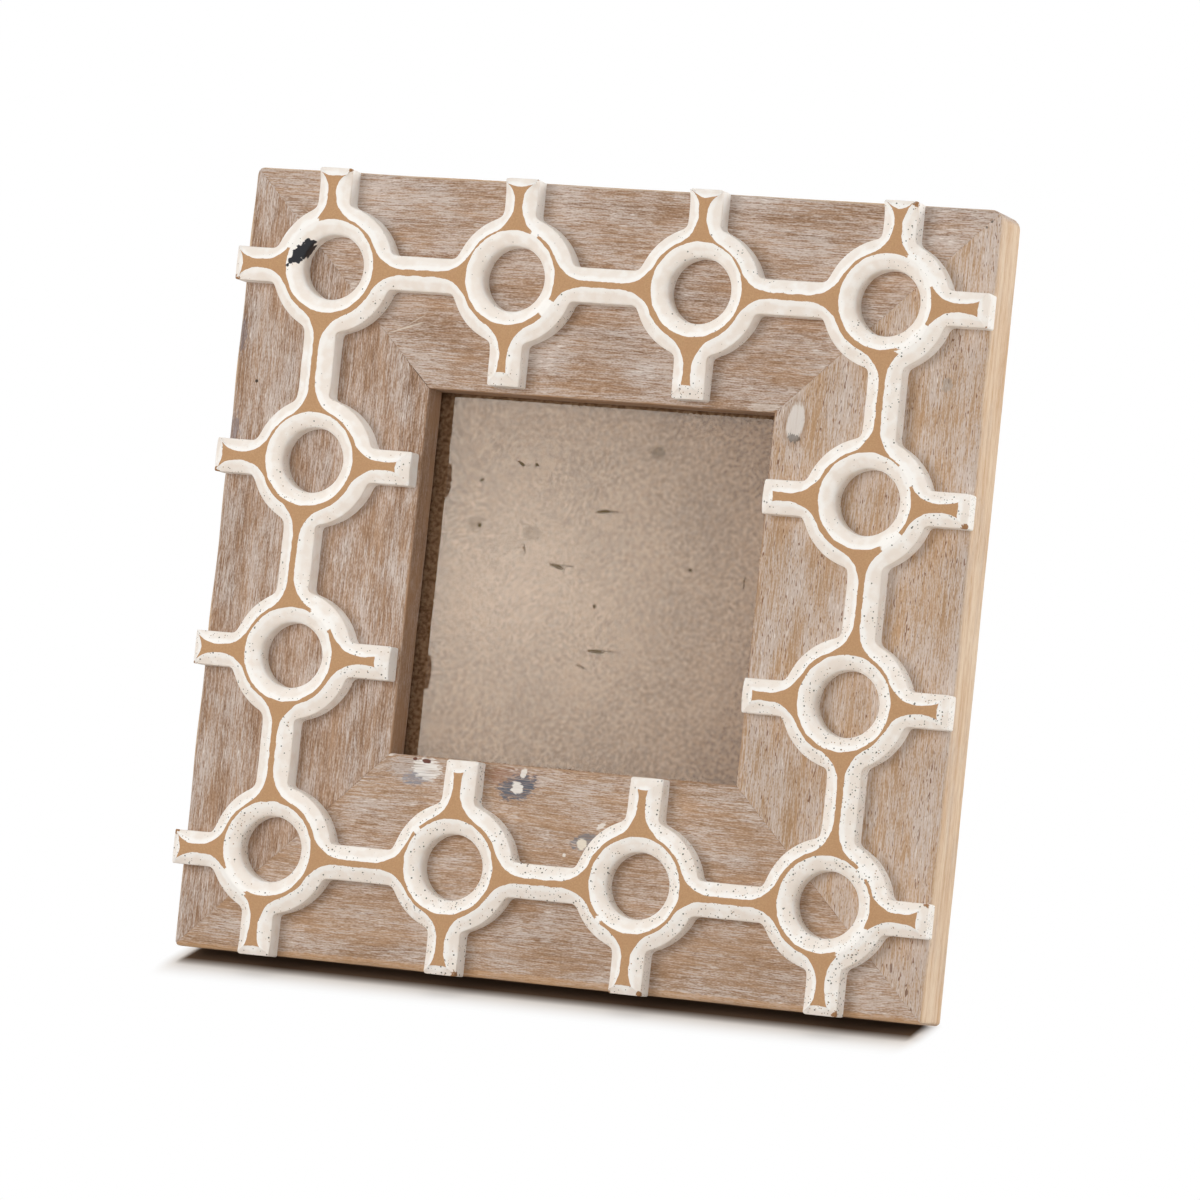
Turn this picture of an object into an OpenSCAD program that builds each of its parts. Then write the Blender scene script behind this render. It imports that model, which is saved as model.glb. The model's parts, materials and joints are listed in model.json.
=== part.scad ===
// Square picture frame that leans back on a folding easel leg.
// Four mitred and rebated timber lengths carry a routed lattice of rings on their front.
// Glass, card and back panel sit in the rebate, held by four turn buttons.
// The frame is drawn flat, face up, then leaned back by stand().
// Flat axes: X to the right, Y up the face from the bottom edge, Z out of the face from the back.

/* [Timber] */
// Width and height of the square timber frame
frame_w = 260; // [230:1:320]
// Face width of each rail and stile
rail_w = 70; // [64:1:80]
// Thickness of the timber
rail_t = 20; // [18:0.5:26]
// Width of the rebate at the back of the window
rebate_w = 5; // [4:0.5:8]

/* [Fretwork] */
// Thickness of the lattice board
fret_t = 9; // [7.5:0.1:12]
// Height of the upright wall below the bevel
fret_wall = 6.4; // [4:0.1:7]
// Rings along each side
ring_n = 4; // [3:1:5]
// Distance from the frame's edge to the centres of the outer rings
ring_inset = 34; // [31:0.5:38]
// How far the ring pattern sits above the middle of the frame
ring_raise = 0.7; // [0:0.1:1.5]
// Outer diameter of a ring
ring_d = 42.4; // [41:0.1:46]
// Diameter of the hole through a ring
hole_d = 21.5; // [18:0.1:23]
// Width of the bevel round the hole
hole_bevel_w = 4.9; // [3:0.1:5.2]
// Width of the bevel along the outline
bevel_w = 4.5; // [3:0.1:4.8]
// Width of the bars and stubs
bar_w = 11.4; // [10.5:0.1:14]
// How far the side and bottom bars run outside the ring centres
bar_out = 2.1; // [0:0.1:3]
// Width of the bevel across the outer stub ends
end_bevel_w = 2.4; // [1:0.1:4]
// How far the outer stubs reach past the timber's edge
stub_over = 0.4; // [0:0.1:1]
// How far the inner stubs stop short of the window
stub_short = 1.2; // [0.5:0.1:3]

/* [Glass and back] */
// Thickness of the glass
glass_t = 2; // [1.5:0.1:3]
// Thickness of the card behind the glass
card_t = 2; // [1:0.1:3]
// Thickness of the back panel
panel_t = 4; // [3:0.1:5]
// Gap round the glass, card and panel in the rebate
pane_gap = 0.3; // [0.2:0.1:0.8]

/* [Turn buttons] */
// Distance of a button's screw from the edge of the rebate
button_set = 7; // [6:0.5:10]
// How far a button reaches over the back panel
button_grip = 8; // [5:0.5:12]
// Length of a button behind its screw
button_tail = 5; // [4:0.5:7]
// Width of a button
button_w = 9; // [7:0.5:12]
// Thickness of a button
button_t = 1.2; // [1:0.1:2]
// Distance of the screws above and below the middle of the frame
button_spread = 34; // [25:1:45]
// Gap between a button and the timber, and below the screw head
button_gap = 0.15; // [0.1:0.05:0.3]

/* [Screws] */
// Shank diameter of a button's screw
screw_d = 3; // [2.5:0.1:4]
// Depth of the screw in the timber
screw_depth = 12; // [8:0.5:14]
// Diameter of the screw's head
screw_head_d = 6.4; // [5.5:0.1:8]
// Diameter of the flat on top of the head
screw_top_d = 4.5; // [4:0.1:5.4]
// Height of the screw's head
screw_head_h = 1.8; // [1.4:0.1:2.5]
// Height of the straight rim of the head
screw_rim_h = 1.1; // [0.6:0.1:1.3]
// Length of the cross recess
recess_l = 3.6; // [3:0.1:3.9]
// Width of the arms of the cross recess
recess_w = 0.8; // [0.6:0.1:1.2]
// Depth of the cross recess
recess_h = 0.9; // [0.5:0.1:1.2]
// Clearance on radius between a moving piece and its pin or screw
running_gap = 0.06; // [0.02:0.01:0.1]

/* [Corner nails] */
// Length of each wing of a V nail
v_wing = 6; // [4:0.5:8]
// Thickness of a V nail's steel
v_t = 0.8; // [0.5:0.1:1.2]
// Depth of a V nail in the timber
v_h = 9; // [6:0.5:12]
// Distance of the outer V nails from the frame's edge
v_outer = 16; // [10:1:22]
// Distance of the inner V nails from the frame's edge
v_inner = 46; // [35:1:50]
// Clearance round a V nail in the timber
v_gap = 0.02; // [0:0.01:0.05]

/* [Easel] */
// Angle by which the frame leans back
lean = 16.7; // [12:0.1:20]
// Angle between the open leg and the back panel
leg_open = 28; // [24:0.5:31]
// Thickness of the leg
leg_t = 4; // [3:0.1:6]
// Width of the leg at its top
leg_top_w = 32; // [31:1:40]
// Width of the leg at its foot
leg_foot_w = 54; // [40:1:70]
// Gap between the folded leg and the back panel
leg_gap = 0.4; // [0.3:0.1:1]
// Distance of the hinge pin below the top edge of the back panel
hinge_set = 19.7; // [18.5:0.1:28]

/* [Hinge] */
// Thickness of the hinge's leaves
leaf_t = 1; // [0.8:0.1:1.5]
// Diameter of the hinge pin
pin_d = 2; // [1.6:0.1:2.4]
// Outer diameter of the knuckles
barrel_d = 4; // [3.8:0.1:4.6]
// Width of the hinge
hinge_w = 30; // [26:0.5:30]
// Width of the middle knuckle
knuckle_w = 13.4; // [10:0.1:16]
// Gap between the ends of the knuckles
knuckle_gap = 0.3; // [0.2:0.05:0.5]
// Length of the panel's leaf above its bend
panel_leaf_l = 12; // [9:0.5:13]
// Length of the leg's leaf below the leg's top end
leg_leaf_l = 20; // [15:0.5:30]
// Distance from the pin to the top end of the leg
leg_drop = 3; // [2.8:0.1:5]
// Gap left at the stop when the leg is open
stop_gap = 0.1; // [0.05:0.05:0.2]
// Length of the panel's leaf that the stop bears on
stop_land = 1.2; // [0.8:0.1:1.6]
// Depth to which a leaf is let into its knuckle
leaf_bite = 0.1; // [0.05:0.05:0.2]
// Depth to which the panel's straps are let into their knuckles
strap_bite = 0.3; // [0.2:0.05:0.4]
// Diameter of the heads of the hinge pin
pin_head_d = 2.8; // [2.6:0.1:3.6]
// Thickness of the heads of the hinge pin
pin_head_w = 0.6; // [0.4:0.1:1]
// Diameter of a rivet's shank
rivet_d = 2.4; // [2:0.1:3]
// Diameter of a rivet's head
rivet_head_d = 5; // [4:0.1:6]
// Height of a rivet's head
rivet_head_h = 1.1; // [0.8:0.1:1.6]
// Metal left outside the heads of the panel's rivets
rivet_edge = 2; // [1.5:0.1:3]
// Wood left outside the heads of the leg's rivets
rivet_wood = 4; // [3:0.1:5]

/* [Hidden] */
$fn = 64;
window_w = frame_w - 2 * rail_w;
rebate_side = window_w + 2 * rebate_w;
rebate_h = glass_t + card_t + panel_t;
pane_side = rebate_side - 2 * pane_gap;
mid = frame_w / 2;

// Ring grid, with the outer rings at ring_inset from the edges
ring_pitch = (frame_w - 2 * ring_inset) / (ring_n - 1);
ring_last = ring_n - 1;
function ring_x(i) = (i - ring_last / 2) * ring_pitch;
function ring_y(j) = mid + ring_raise + (j - ring_last / 2) * ring_pitch;
// Centre lines of the bars, which the stubs of the same ring share
function line_x(i) = ring_x(i) + (i == 0 ? -bar_out : i == ring_last ? bar_out : 0);
function line_y(j) = ring_y(j) + (j == 0 ? -bar_out : 0);
bevel_h = fret_t - fret_wall;
// Ends of the stubs, from the middle of the frame
outer_end = mid + stub_over;
inner_end = window_w / 2 + stub_short;
// Over-length of cutters past the faces that they cut
past = 1;

// Hinge seen along its pin: the pin at zero, Y up the panel and Z towards it
pin_r = pin_d / 2;
barrel_r = barrel_d / 2;
// Outer face of the leg and inner face of its leaf
leaf_seat = barrel_r - leaf_t + leaf_bite;
leaf_in = -leaf_seat;
leaf_out = leaf_in - leaf_t;
pin_drop = leg_gap + leg_t - leaf_seat;
pin_y = mid + pane_side / 2 - hinge_set;
// The leg's leaf runs past the pin, and its end meets the panel's leaf when the leg is open
stop_l = (pin_drop - leaf_t - stop_gap + leaf_seat * cos(leg_open)) / sin(leg_open);
leaf_bend = stop_l * cos(leg_open) + leaf_seat * sin(leg_open) - stop_land;
side_knuckle = knuckle_w / 2 + knuckle_gap;
panel_rivet = [
  hinge_w / 2 - rivet_head_d / 2 - rivet_edge,
  leaf_bend + (panel_leaf_l + stop_land) / 2
];
leg_rivet = [leg_top_w / 2 - rivet_head_d / 2 - rivet_wood, -leg_drop - leg_leaf_l / 2];

// Side view of the whole stand, in the row's own Y and Z before it is centred
leg_slope = leg_open - lean;
pin_side_y = pin_y * sin(lean) + pin_drop * cos(lean);
pin_side_z = pin_y * cos(lean) - pin_drop * sin(lean);
leg_reach = (pin_side_z + leaf_seat * sin(leg_slope)) / cos(leg_slope);
foot_back_y = pin_side_y + leaf_seat * cos(leg_slope) + leg_reach * sin(leg_slope);
back_y = max(foot_back_y, frame_w * sin(lean));
front_y = (end_bevel_w - stub_over) * sin(lean) - (rail_t + fret_t) * cos(lean);
centre_y = (front_y + back_y) / 2;

// Leans the flat frame back on its rear bottom edge, centred front to back over the origin
module stand() {
  translate([0, -centre_y, 0]) rotate([90 - lean, 0, 0]) children();
}

// Turns a piece drawn at the bottom of the flat frame by quarter turns about the frame's middle
module quarter(turns) {
  translate([0, mid, 0]) rotate([0, 0, 90 * turns]) translate([0, -mid, 0]) children();
}

// Puts a piece drawn round the hinge pin in its place on the flat frame
module at_hinge() {
  translate([0, pin_y, -pin_drop]) children();
}

// Swings a piece drawn on the folded leg to the open leg
module leg_swing() {
  at_hinge() rotate([leg_open, 0, 0]) children();
}

// Extrudes a side view, given as [Y, Z] points, along X from x0 to x1
module side_extrude(x0, x1, points) {
  translate([x0, 0, 0]) rotate([90, 0, 90]) linear_extrude(height = x1 - x0) polygon(points);
}

// One V nail with its point on the mitre of the bottom left corner, grown by a gap for its slot
module v_nail(grow = 0) {
  arm = v_wing + v_t / 2 + 2 * grow;
  wide = v_t + 2 * grow;
  translate([-wide / 2, -wide / 2, 0]) {
    cube([arm, wide, v_h]);
    cube([wide, arm, v_h]);
  }
}

// The two V nails of the bottom left corner
module corner_pair(grow = 0) {
  for (inset = [v_outer, v_inner])
    translate([inset - mid, inset, 0]) v_nail(grow);
}

// A mitred and rebated length of timber along the bottom of the frame
module timber() {
  difference() {
    linear_extrude(height = rail_t)
      polygon([[-mid, 0], [mid, 0], [window_w / 2, rail_w], [-window_w / 2, rail_w]]);
    translate([-rebate_side / 2, rail_w - rebate_w, -past])
      cube([rebate_side, rebate_side, rebate_h + past]);
    corner_pair(v_gap);
    quarter(1) corner_pair(v_gap);
  }
}

// Screw places on the flat frame's back, for one side of the frame
module button_places(side) {
  for (up = [-1, 1])
    translate([side * (rebate_side / 2 + button_set), mid + up * button_spread, 0]) children();
}

// A timber length stood up on the given side, with its two screw holes
module stile(side) {
  difference() {
    quarter(side) timber();
    button_places(side) translate([0, 0, -past]) cylinder(d = screw_d, h = screw_depth + past);
  }
}

module bottom_rail() {
  color("#a58468") stand() timber();
}

module top_rail() {
  color("#a58468") stand() quarter(2) timber();
}

module right_stile() {
  color("#a98a6d") stand() stile(1);
}

module left_stile() {
  color("#a98a6d") stand() stile(-1);
}

// Outside of one ring: an upright wall with a bevel above it
module ring_body() {
  cylinder(d = ring_d, h = fret_wall);
  translate([0, 0, fret_wall])
    cylinder(d1 = ring_d, d2 = ring_d - 2 * bevel_w, h = bevel_h);
}

// The hole through a ring, which flares out through the bevel
module ring_hole() {
  flare = hole_bevel_w / bevel_h;
  translate([0, 0, -past]) cylinder(d = hole_d, h = fret_t + 2 * past);
  translate([0, 0, fret_wall])
    cylinder(d1 = hole_d, d2 = hole_d + 2 * flare * (bevel_h + past), h = bevel_h + past);
}

// Outline of a bar from y0 to y1, seen from the side or the end, with a bevel of its own each side
function bar_section(y0, y1, bevel0, bevel1) = [
  [y0, 0], [y1, 0], [y1, fret_wall], [y1 - bevel1, fret_t], [y0 + bevel0, fret_t], [y0, fret_wall]
];

// A bar along Y from y0 to y1, with bevels on its sides and the given bevels on its ends
module bar_y(y0, y1, bevel0, bevel1) {
  intersection() {
    translate([0, y1, 0]) rotate([90, 0, 0]) linear_extrude(height = y1 - y0)
      polygon(bar_section(-bar_w / 2, bar_w / 2, bevel_w, bevel_w));
    side_extrude(-bar_w, bar_w, bar_section(y0, y1, bevel0, bevel1));
  }
}

// The same along X
module bar_x(x0, x1, bevel0, bevel1) {
  rotate([0, 0, -90]) bar_y(x0, x1, bevel0, bevel1);
}

// Bars that join the rings, and their stubs, on the left and right sides
module side_lines() {
  for (i = [0, ring_last])
    translate([line_x(i), 0, 0]) bar_y(mid - outer_end, mid + outer_end, end_bevel_w, end_bevel_w);
  for (i = [1 : ring_last - 1])
    translate([line_x(i), 0, 0]) {
      bar_y(mid - outer_end, mid - inner_end, end_bevel_w, bevel_w);
      bar_y(mid + inner_end, mid + outer_end, bevel_w, end_bevel_w);
    }
}

// Bars that join the rings, and their stubs, along the bottom and top
module level_lines() {
  for (j = [0, ring_last])
    translate([0, line_y(j), 0]) bar_x(-outer_end, outer_end, end_bevel_w, end_bevel_w);
  for (j = [1 : ring_last - 1])
    translate([0, line_y(j), 0]) {
      bar_x(-outer_end, -inner_end, end_bevel_w, bevel_w);
      bar_x(inner_end, outer_end, bevel_w, end_bevel_w);
    }
}

// Puts its children at each ring centre round the frame
module at_rings() {
  for (i = [0 : ring_last], j = [0 : ring_last])
    if (i == 0 || i == ring_last || j == 0 || j == ring_last)
      translate([ring_x(i), ring_y(j), 0]) children();
}

module fretwork() {
  color("#f0e8dc") stand() translate([0, 0, rail_t])
    difference() {
      union() {
        at_rings() ring_body();
        side_lines();
        level_lines();
      }
      at_rings() ring_hole();
    }
}

module corner_v_nails() {
  color("#9a9da0") stand()
    for (turns = [0 : 3]) quarter(turns) corner_pair();
}

// A square sheet in the rebate, from z0 above the back
module sheet(z0, thick) {
  translate([-pane_side / 2, mid - pane_side / 2, z0]) cube([pane_side, pane_side, thick]);
}

module glass_pane() {
  color("#cfd8d4", 0.4) stand() sheet(panel_t + card_t, glass_t);
}

module backing_card() {
  color("#a5968a") stand() sheet(panel_t, card_t);
}

// Puts its children at the panel's rivets, drawn round the hinge pin
module at_panel_rivets() {
  for (side = [-1, 1])
    translate([side * panel_rivet[0], panel_rivet[1], 0]) children();
}

// Puts its children at the leg's rivets, drawn round the hinge pin
module at_leg_rivets() {
  for (side = [-1, 1])
    translate([side * leg_rivet[0], leg_rivet[1], 0]) children();
}

module back_panel() {
  color("#8d6b4c") stand()
    difference() {
      sheet(0, panel_t);
      at_hinge() at_panel_rivets() cylinder(d = rivet_d, h = pin_drop + panel_t + past);
    }
}

// A turn button with round ends, pointing along +X from its screw
module turn_button() {
  x0 = button_w / 2 - button_tail;
  x1 = button_set + button_grip - button_w / 2;
  difference() {
    union() {
      translate([x0, -button_w / 2, 0]) cube([x1 - x0, button_w, button_t]);
      for (x = [x0, x1]) translate([x, 0, 0]) cylinder(d = button_w, h = button_t);
    }
    translate([0, 0, -past])
      cylinder(r = screw_d / 2 + running_gap, h = button_t + 2 * past);
  }
}

// A turn button in place: side is -1 for left, up is -1 for the lower one
module placed_button(side, up) {
  color("#b9b4a6") stand()
    translate([side * (rebate_side / 2 + button_set), mid + up * button_spread,
               -button_gap - button_t])
      rotate([0, 0, side > 0 ? 180 : 0]) turn_button();
}

module turn_button_upper_left() {
  placed_button(-1, 1);
}

module turn_button_lower_left() {
  placed_button(-1, -1);
}

module turn_button_upper_right() {
  placed_button(1, 1);
}

module turn_button_lower_right() {
  placed_button(1, -1);
}

// A pan head screw with a cross recess, its head below the button
module pan_screw() {
  seat = button_t + 2 * button_gap;
  translate([0, 0, -seat]) cylinder(d = screw_d, h = seat + screw_depth);
  translate([0, 0, -seat]) mirror([0, 0, 1])
    difference() {
      union() {
        cylinder(d = screw_head_d, h = screw_rim_h);
        translate([0, 0, screw_rim_h])
          cylinder(d1 = screw_head_d, d2 = screw_top_d, h = screw_head_h - screw_rim_h);
      }
      for (turn = [0, 90])
        rotate([0, 0, turn])
          translate([-recess_l / 2, -recess_w / 2, screw_head_h - recess_h])
            cube([recess_l, recess_w, recess_h + past]);
    }
}

module turn_button_screws() {
  color("#c2c0b8") stand()
    for (side = [-1, 1]) button_places(side) pan_screw();
}

// A cylinder along X from x0 to x1, about the hinge pin
module along_pin(x0, x1, r) {
  translate([x0, 0, 0]) rotate([0, 90, 0]) cylinder(r = r, h = x1 - x0);
}

module hinge_leaf_panel() {
  // Side view of the strap that bends from the panel down to the knuckle
  strap_top = barrel_r - strap_bite;
  strap = [
    [leaf_bend + leaf_t, pin_drop], [leaf_bend - leaf_t / 2, pin_drop], [0, strap_top],
    [0, strap_top - leaf_t], [leaf_bend, pin_drop - leaf_t],
    [leaf_bend + leaf_t, pin_drop - leaf_t]
  ];
  color("#b9b4a6") stand() at_hinge()
    difference() {
      union() {
        translate([-hinge_w / 2, leaf_bend, pin_drop - leaf_t])
          cube([hinge_w, panel_leaf_l, leaf_t]);
        for (turn = [0, 1]) mirror([turn, 0, 0]) {
          side_extrude(side_knuckle, hinge_w / 2, strap);
          along_pin(side_knuckle, hinge_w / 2, barrel_r);
        }
      }
      along_pin(-hinge_w, hinge_w, pin_r);
      at_panel_rivets() cylinder(d = rivet_d, h = pin_drop + past);
    }
}

module hinge_leaf_leg() {
  color("#b9b4a6") stand() leg_swing()
    difference() {
      union() {
        translate([-hinge_w / 2, -leg_drop - leg_leaf_l, leaf_out])
          cube([hinge_w, leg_leaf_l, leaf_t]);
        translate([-knuckle_w / 2, -leg_drop - past, leaf_out])
          cube([knuckle_w, leg_drop + past + stop_l, leaf_t]);
        along_pin(-knuckle_w / 2, knuckle_w / 2, barrel_r);
      }
      along_pin(-hinge_w, hinge_w, pin_r + running_gap);
      at_leg_rivets() translate([0, 0, leaf_out - past]) cylinder(d = rivet_d, h = leaf_t + 2 * past);
    }
}

module hinge_pin() {
  color("#c2c0b8") stand() at_hinge() {
    along_pin(-hinge_w / 2, hinge_w / 2, pin_r);
    for (turn = [0, 1]) mirror([turn, 0, 0])
      along_pin(hinge_w / 2, hinge_w / 2 + pin_head_w, pin_head_d / 2);
  }
}

// A rivet from its domed head at z = 0, with its shank along +Z
module rivet(shank_l) {
  head_r = rivet_head_d / 2;
  dome_r = (head_r * head_r + rivet_head_h * rivet_head_h) / (2 * rivet_head_h);
  cylinder(d = rivet_d, h = shank_l);
  intersection() {
    translate([0, 0, dome_r - rivet_head_h]) sphere(r = dome_r);
    translate([-head_r, -head_r, -rivet_head_h]) cube([rivet_head_d, rivet_head_d, rivet_head_h]);
  }
}

module panel_rivets() {
  color("#c2c0b8") stand() at_hinge() at_panel_rivets()
    translate([0, 0, pin_drop - leaf_t]) rivet(leaf_t + panel_t);
}

module leg_rivets() {
  color("#c2c0b8") stand() leg_swing() at_leg_rivets()
    translate([0, 0, leaf_out]) rivet(leaf_t + leg_t);
}

// The leg, wider at its foot, which is cut level with the ground
module easel_leg() {
  blank_l = leg_reach + leg_t;
  flare = (leg_foot_w - leg_top_w) / 2 / leg_reach;
  blank_half = leg_top_w / 2 + flare * (blank_l - leg_drop);
  color("#8d6b4c")
    difference() {
      stand() leg_swing()
        difference() {
          translate([0, 0, leaf_in]) linear_extrude(height = leg_t)
            polygon([
              [-leg_top_w / 2, -leg_drop], [leg_top_w / 2, -leg_drop],
              [blank_half, -blank_l], [-blank_half, -blank_l]
            ]);
          at_leg_rivets() translate([0, 0, leaf_in - past]) cylinder(d = rivet_d, h = leg_t + 2 * past);
        }
      translate([-frame_w, -frame_w, -frame_w]) cube([2 * frame_w, 2 * frame_w, frame_w]);
    }
}

top_rail();
bottom_rail();
left_stile();
right_stile();
fretwork();
corner_v_nails();
glass_pane();
backing_card();
back_panel();
turn_button_upper_left();
turn_button_lower_left();
turn_button_upper_right();
turn_button_lower_right();
turn_button_screws();
hinge_leaf_panel();
hinge_leaf_leg();
hinge_pin();
panel_rivets();
leg_rivets();
easel_leg();
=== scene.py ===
"""Looks of a leaning picture frame: limed timber with a routed ring lattice on its face.

Every piece is worked out on the flat frame and then leaned back. Flat axes: x to the right from the
middle, up the face from its bottom edge, and out from the back to the front. Meshes are in metres.
Patterns in the materials read the same flat axes in millimetres.
"""

import json
import math

import bmesh
import bpy
import numpy as np
from bpy.props import FloatProperty, FloatVectorProperty, IntProperty, PointerProperty
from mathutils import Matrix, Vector
from mathutils.geometry import tessellate_polygon


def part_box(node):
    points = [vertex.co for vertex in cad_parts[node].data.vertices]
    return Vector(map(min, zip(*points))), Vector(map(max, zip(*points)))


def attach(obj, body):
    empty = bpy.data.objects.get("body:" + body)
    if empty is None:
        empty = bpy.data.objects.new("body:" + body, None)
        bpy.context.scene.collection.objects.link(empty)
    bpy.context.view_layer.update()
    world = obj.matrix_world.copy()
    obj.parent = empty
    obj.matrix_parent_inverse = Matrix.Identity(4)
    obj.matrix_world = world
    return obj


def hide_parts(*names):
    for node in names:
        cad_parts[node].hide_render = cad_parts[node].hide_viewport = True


bl_info = {
    "name": "Fretwork Picture Frame",
    "version": (1, 0, 0),
    "blender": (4, 5, 0),
    "location": "3D View > Sidebar > Picture Frame",
    "description": "A limed timber picture frame with a routed lattice, glass and a folding leg",
    "category": "Add Mesh",
}

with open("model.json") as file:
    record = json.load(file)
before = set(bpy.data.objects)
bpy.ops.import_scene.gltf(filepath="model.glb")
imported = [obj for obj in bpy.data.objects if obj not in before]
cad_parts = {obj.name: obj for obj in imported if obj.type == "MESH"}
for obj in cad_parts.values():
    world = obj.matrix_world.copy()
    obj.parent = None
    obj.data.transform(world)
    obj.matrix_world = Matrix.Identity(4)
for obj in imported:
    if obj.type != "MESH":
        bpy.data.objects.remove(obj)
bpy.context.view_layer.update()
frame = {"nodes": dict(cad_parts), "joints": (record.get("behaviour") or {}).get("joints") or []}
MM = 0.001

# The turn buttons' axis points straight out of the frame's back, so it gives the lean
BUTTON_AXIS = next(j["axis"] for j in frame["joints"] if j["name"] == "turn_upper_left")
LEAN = math.asin(-BUTTON_AXIS[2])
UPRIGHT = math.cos(LEAN)
BACKWARD = math.sin(LEAN)


def timber_sizes():
    """The frame's width, a rail's width and thickness, and how far before the origin the rear bottom edge
    stands, from the bottom rail's corners read along the leaned axes."""
    corners = frame["nodes"]["bottom_rail"].data.vertices
    points = np.empty(3 * len(corners), np.float32)
    corners.foreach_get("co", points)
    x, y, z = points.astype(float).reshape(-1, 3).T
    up = y * BACKWARD + z * UPRIGHT
    out = z * BACKWARD - y * UPRIGHT
    return float(np.ptp(x)), float(np.ptp(up)), float(np.ptp(out)), float(out.min()) / UPRIGHT


FRAME_W, RAIL_W, RAIL_T, BACK_Y = timber_sizes()
MID = FRAME_W / 2

# Edges turned by more than this are kept sharp, and rounded on the dressed pieces
SHARP = math.radians(35)
# Corners of a CAD node this near each other are one, and its triangles this flat make one face
SAME_PLACE = 0.002 * MM
SAME_PLANE = math.radians(0.4)

# Sockets of a Mix node that mixes colours, and of a Map Range node
UNDER, OVER, MIXED = 6, 7, 2
FROM_LOW, FROM_HIGH, TO_LOW, TO_HIGH = 1, 2, 3, 4
SMOOTH = {"interpolation_type": "SMOOTHSTEP"}


def tone(hex_code):
    """Linear colour of an sRGB hex code."""
    channels = [int(hex_code[i : i + 2], 16) / 255 for i in (1, 3, 5)]
    return [c / 12.92 if c <= 0.04045 else ((c + 0.055) / 1.055) ** 2.4 for c in channels] + [1.0]


def length(name, description, millimetres):
    """A size, shown in the sidebar in the scene's own unit."""
    size = millimetres * MM
    return FloatProperty(name=name, description=description, default=size, unit="LENGTH", precision=5)


def setting(name, description, value):
    """A plain number shown in the sidebar."""
    return FloatProperty(name=name, description=description, default=value)


def colour(name, description, hex_code):
    """A colour shown in the sidebar."""
    return FloatVectorProperty(
        name=name, description=description, default=tone(hex_code), subtype="COLOR", size=4, min=0, max=1
    )


class TimberSettings(bpy.types.PropertyGroup):
    arris_front: length("Front arris", "Rounding of the outer front edge", 1.0)
    arris_window: length("Window arris", "Rounding of the front edge at the window", 0.8)
    arris_back: length("Back arris", "Rounding of the edges at the back", 0.6)
    corner_bl: length("Bottom left corner", "Rounding of that corner", 2.0)
    corner_br: length("Bottom right corner", "Rounding of that corner", 1.5)
    corner_tr: length("Top right corner", "Rounding of that corner, which is knocked off", 4.2)
    corner_tl: length("Top left corner", "Rounding of that corner", 2.5)
    rebate_w: length("Rebate width", "Width of the rebate at the back of the window", 5.0)
    rebate_h: length("Rebate height", "Height of the rebate from the back", 8.0)
    groove: length("Mitre groove", "Depth of the worn groove along the mitres", 0.15)
    uneven: length("Unevenness", "Depth of the hollows in the planed faces", 0.1)
    dark: colour("Dark grain", "Darkest bare wood", "#7e614b")
    middle: colour("Middle grain", "Bare wood", "#a28268")
    light: colour("Light grain", "Palest bare wood", "#bf9e82")
    lime: colour("Lime", "Lime in the open grain", "#d1c6bf")
    gold: colour("Golden wood", "Sapwood, under the lime", "#c7a37a")
    pore: colour("Pores", "Open pores without lime", "#7a5336")
    side: colour("Sawn sides", "Timber on the outer sides", "#ecd6bb")
    side_dark: colour("Sawn side streaks", "Darker streaks on the outer sides", "#cda377")
    reveal: colour("Window walls", "Timber on the walls of the window", "#a57f5c")


class FretworkSettings(bpy.types.PropertyGroup):
    board_t: length("Board thickness", "Thickness of the lattice", 9.0)
    ring_count: IntProperty(name="Rings", description="Rings along each side", default=4)
    ring_inset: length("Ring inset", "From the frame's edge to the outer ring centres", 34.0)
    ring_raise: length("Ring raise", "Height of the ring pattern above the frame's middle", 0.7)
    ring_r: length("Ring radius", "Outer radius of a ring at its wall", 21.2)
    hole_r: length("Hole radius", "Radius of the hole through a ring", 10.75)
    bar_half: length("Bar half width", "Half the width of a bar at its wall", 5.7)
    stub_half: length("Stub half width", "Half the width of a stub at its wall", 5.6)
    bar_out: length("Bar offset", "How far the side and bottom bars run outside the ring centres", 2.1)
    bare_ring_r: length("Bare ring radius", "Outer radius of the bare line round a ring", 16.7)
    bare_hole_r: length("Bare line inner radius", "Radius at which a hole's bevel starts", 15.6)
    bare_bar_half: length("Bare bar half width", "Half the width of the bare line on a bar", 0.95)
    bare_outer_half: length("Bare outer stub half width", "Half the bare line on an outer stub", 1.35)
    bare_inner_half: length("Bare inner stub half width", "Half the bare line on an inner stub", 1.25)
    fillet_r: length("Fillet radius", "Radius where a bare line meets its ring", 12.0)
    outer_fillet_r: length("Outer stub fillet radius", "The same at an outer stub", 10.5)
    outer_end: length("Outer stub end", "From a ring's centre to the end of its outer stub", 34.4)
    outer_tip: length("Outer bare end", "From a ring's centre to the end of the bare line", 31.3)
    outer_flare: length("Outer flare", "Spread of the bare line at a full fishtail", 3.0)
    inner_end: length("Inner stub end", "From a ring's centre to the end of its inner stub", 34.8)
    inner_tip: length("Inner bare end", "From a ring's centre to the end of that bare line", 30.4)
    inner_flare: length("Inner flare", "Spread of that bare line at its end", 0.4)
    hole_out: length("Hole drift out", "How far the holes sit outside the ring centres", 0.4)
    hole_up: length("Hole drift up", "How far the holes sit above the ring centres", 0.3)
    paint: colour("Paint", "Cream paint on the bevels and walls", "#f3eae0")
    # This colour is also used on the walls, where it is a painted highlight
    thick_and_highlight: colour("Thick paint", "The same paint where it lies thick", "#fdfaf5")
    board: colour("Bare board", "Sanded top of the fibreboard", "#b88f6a")


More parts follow.
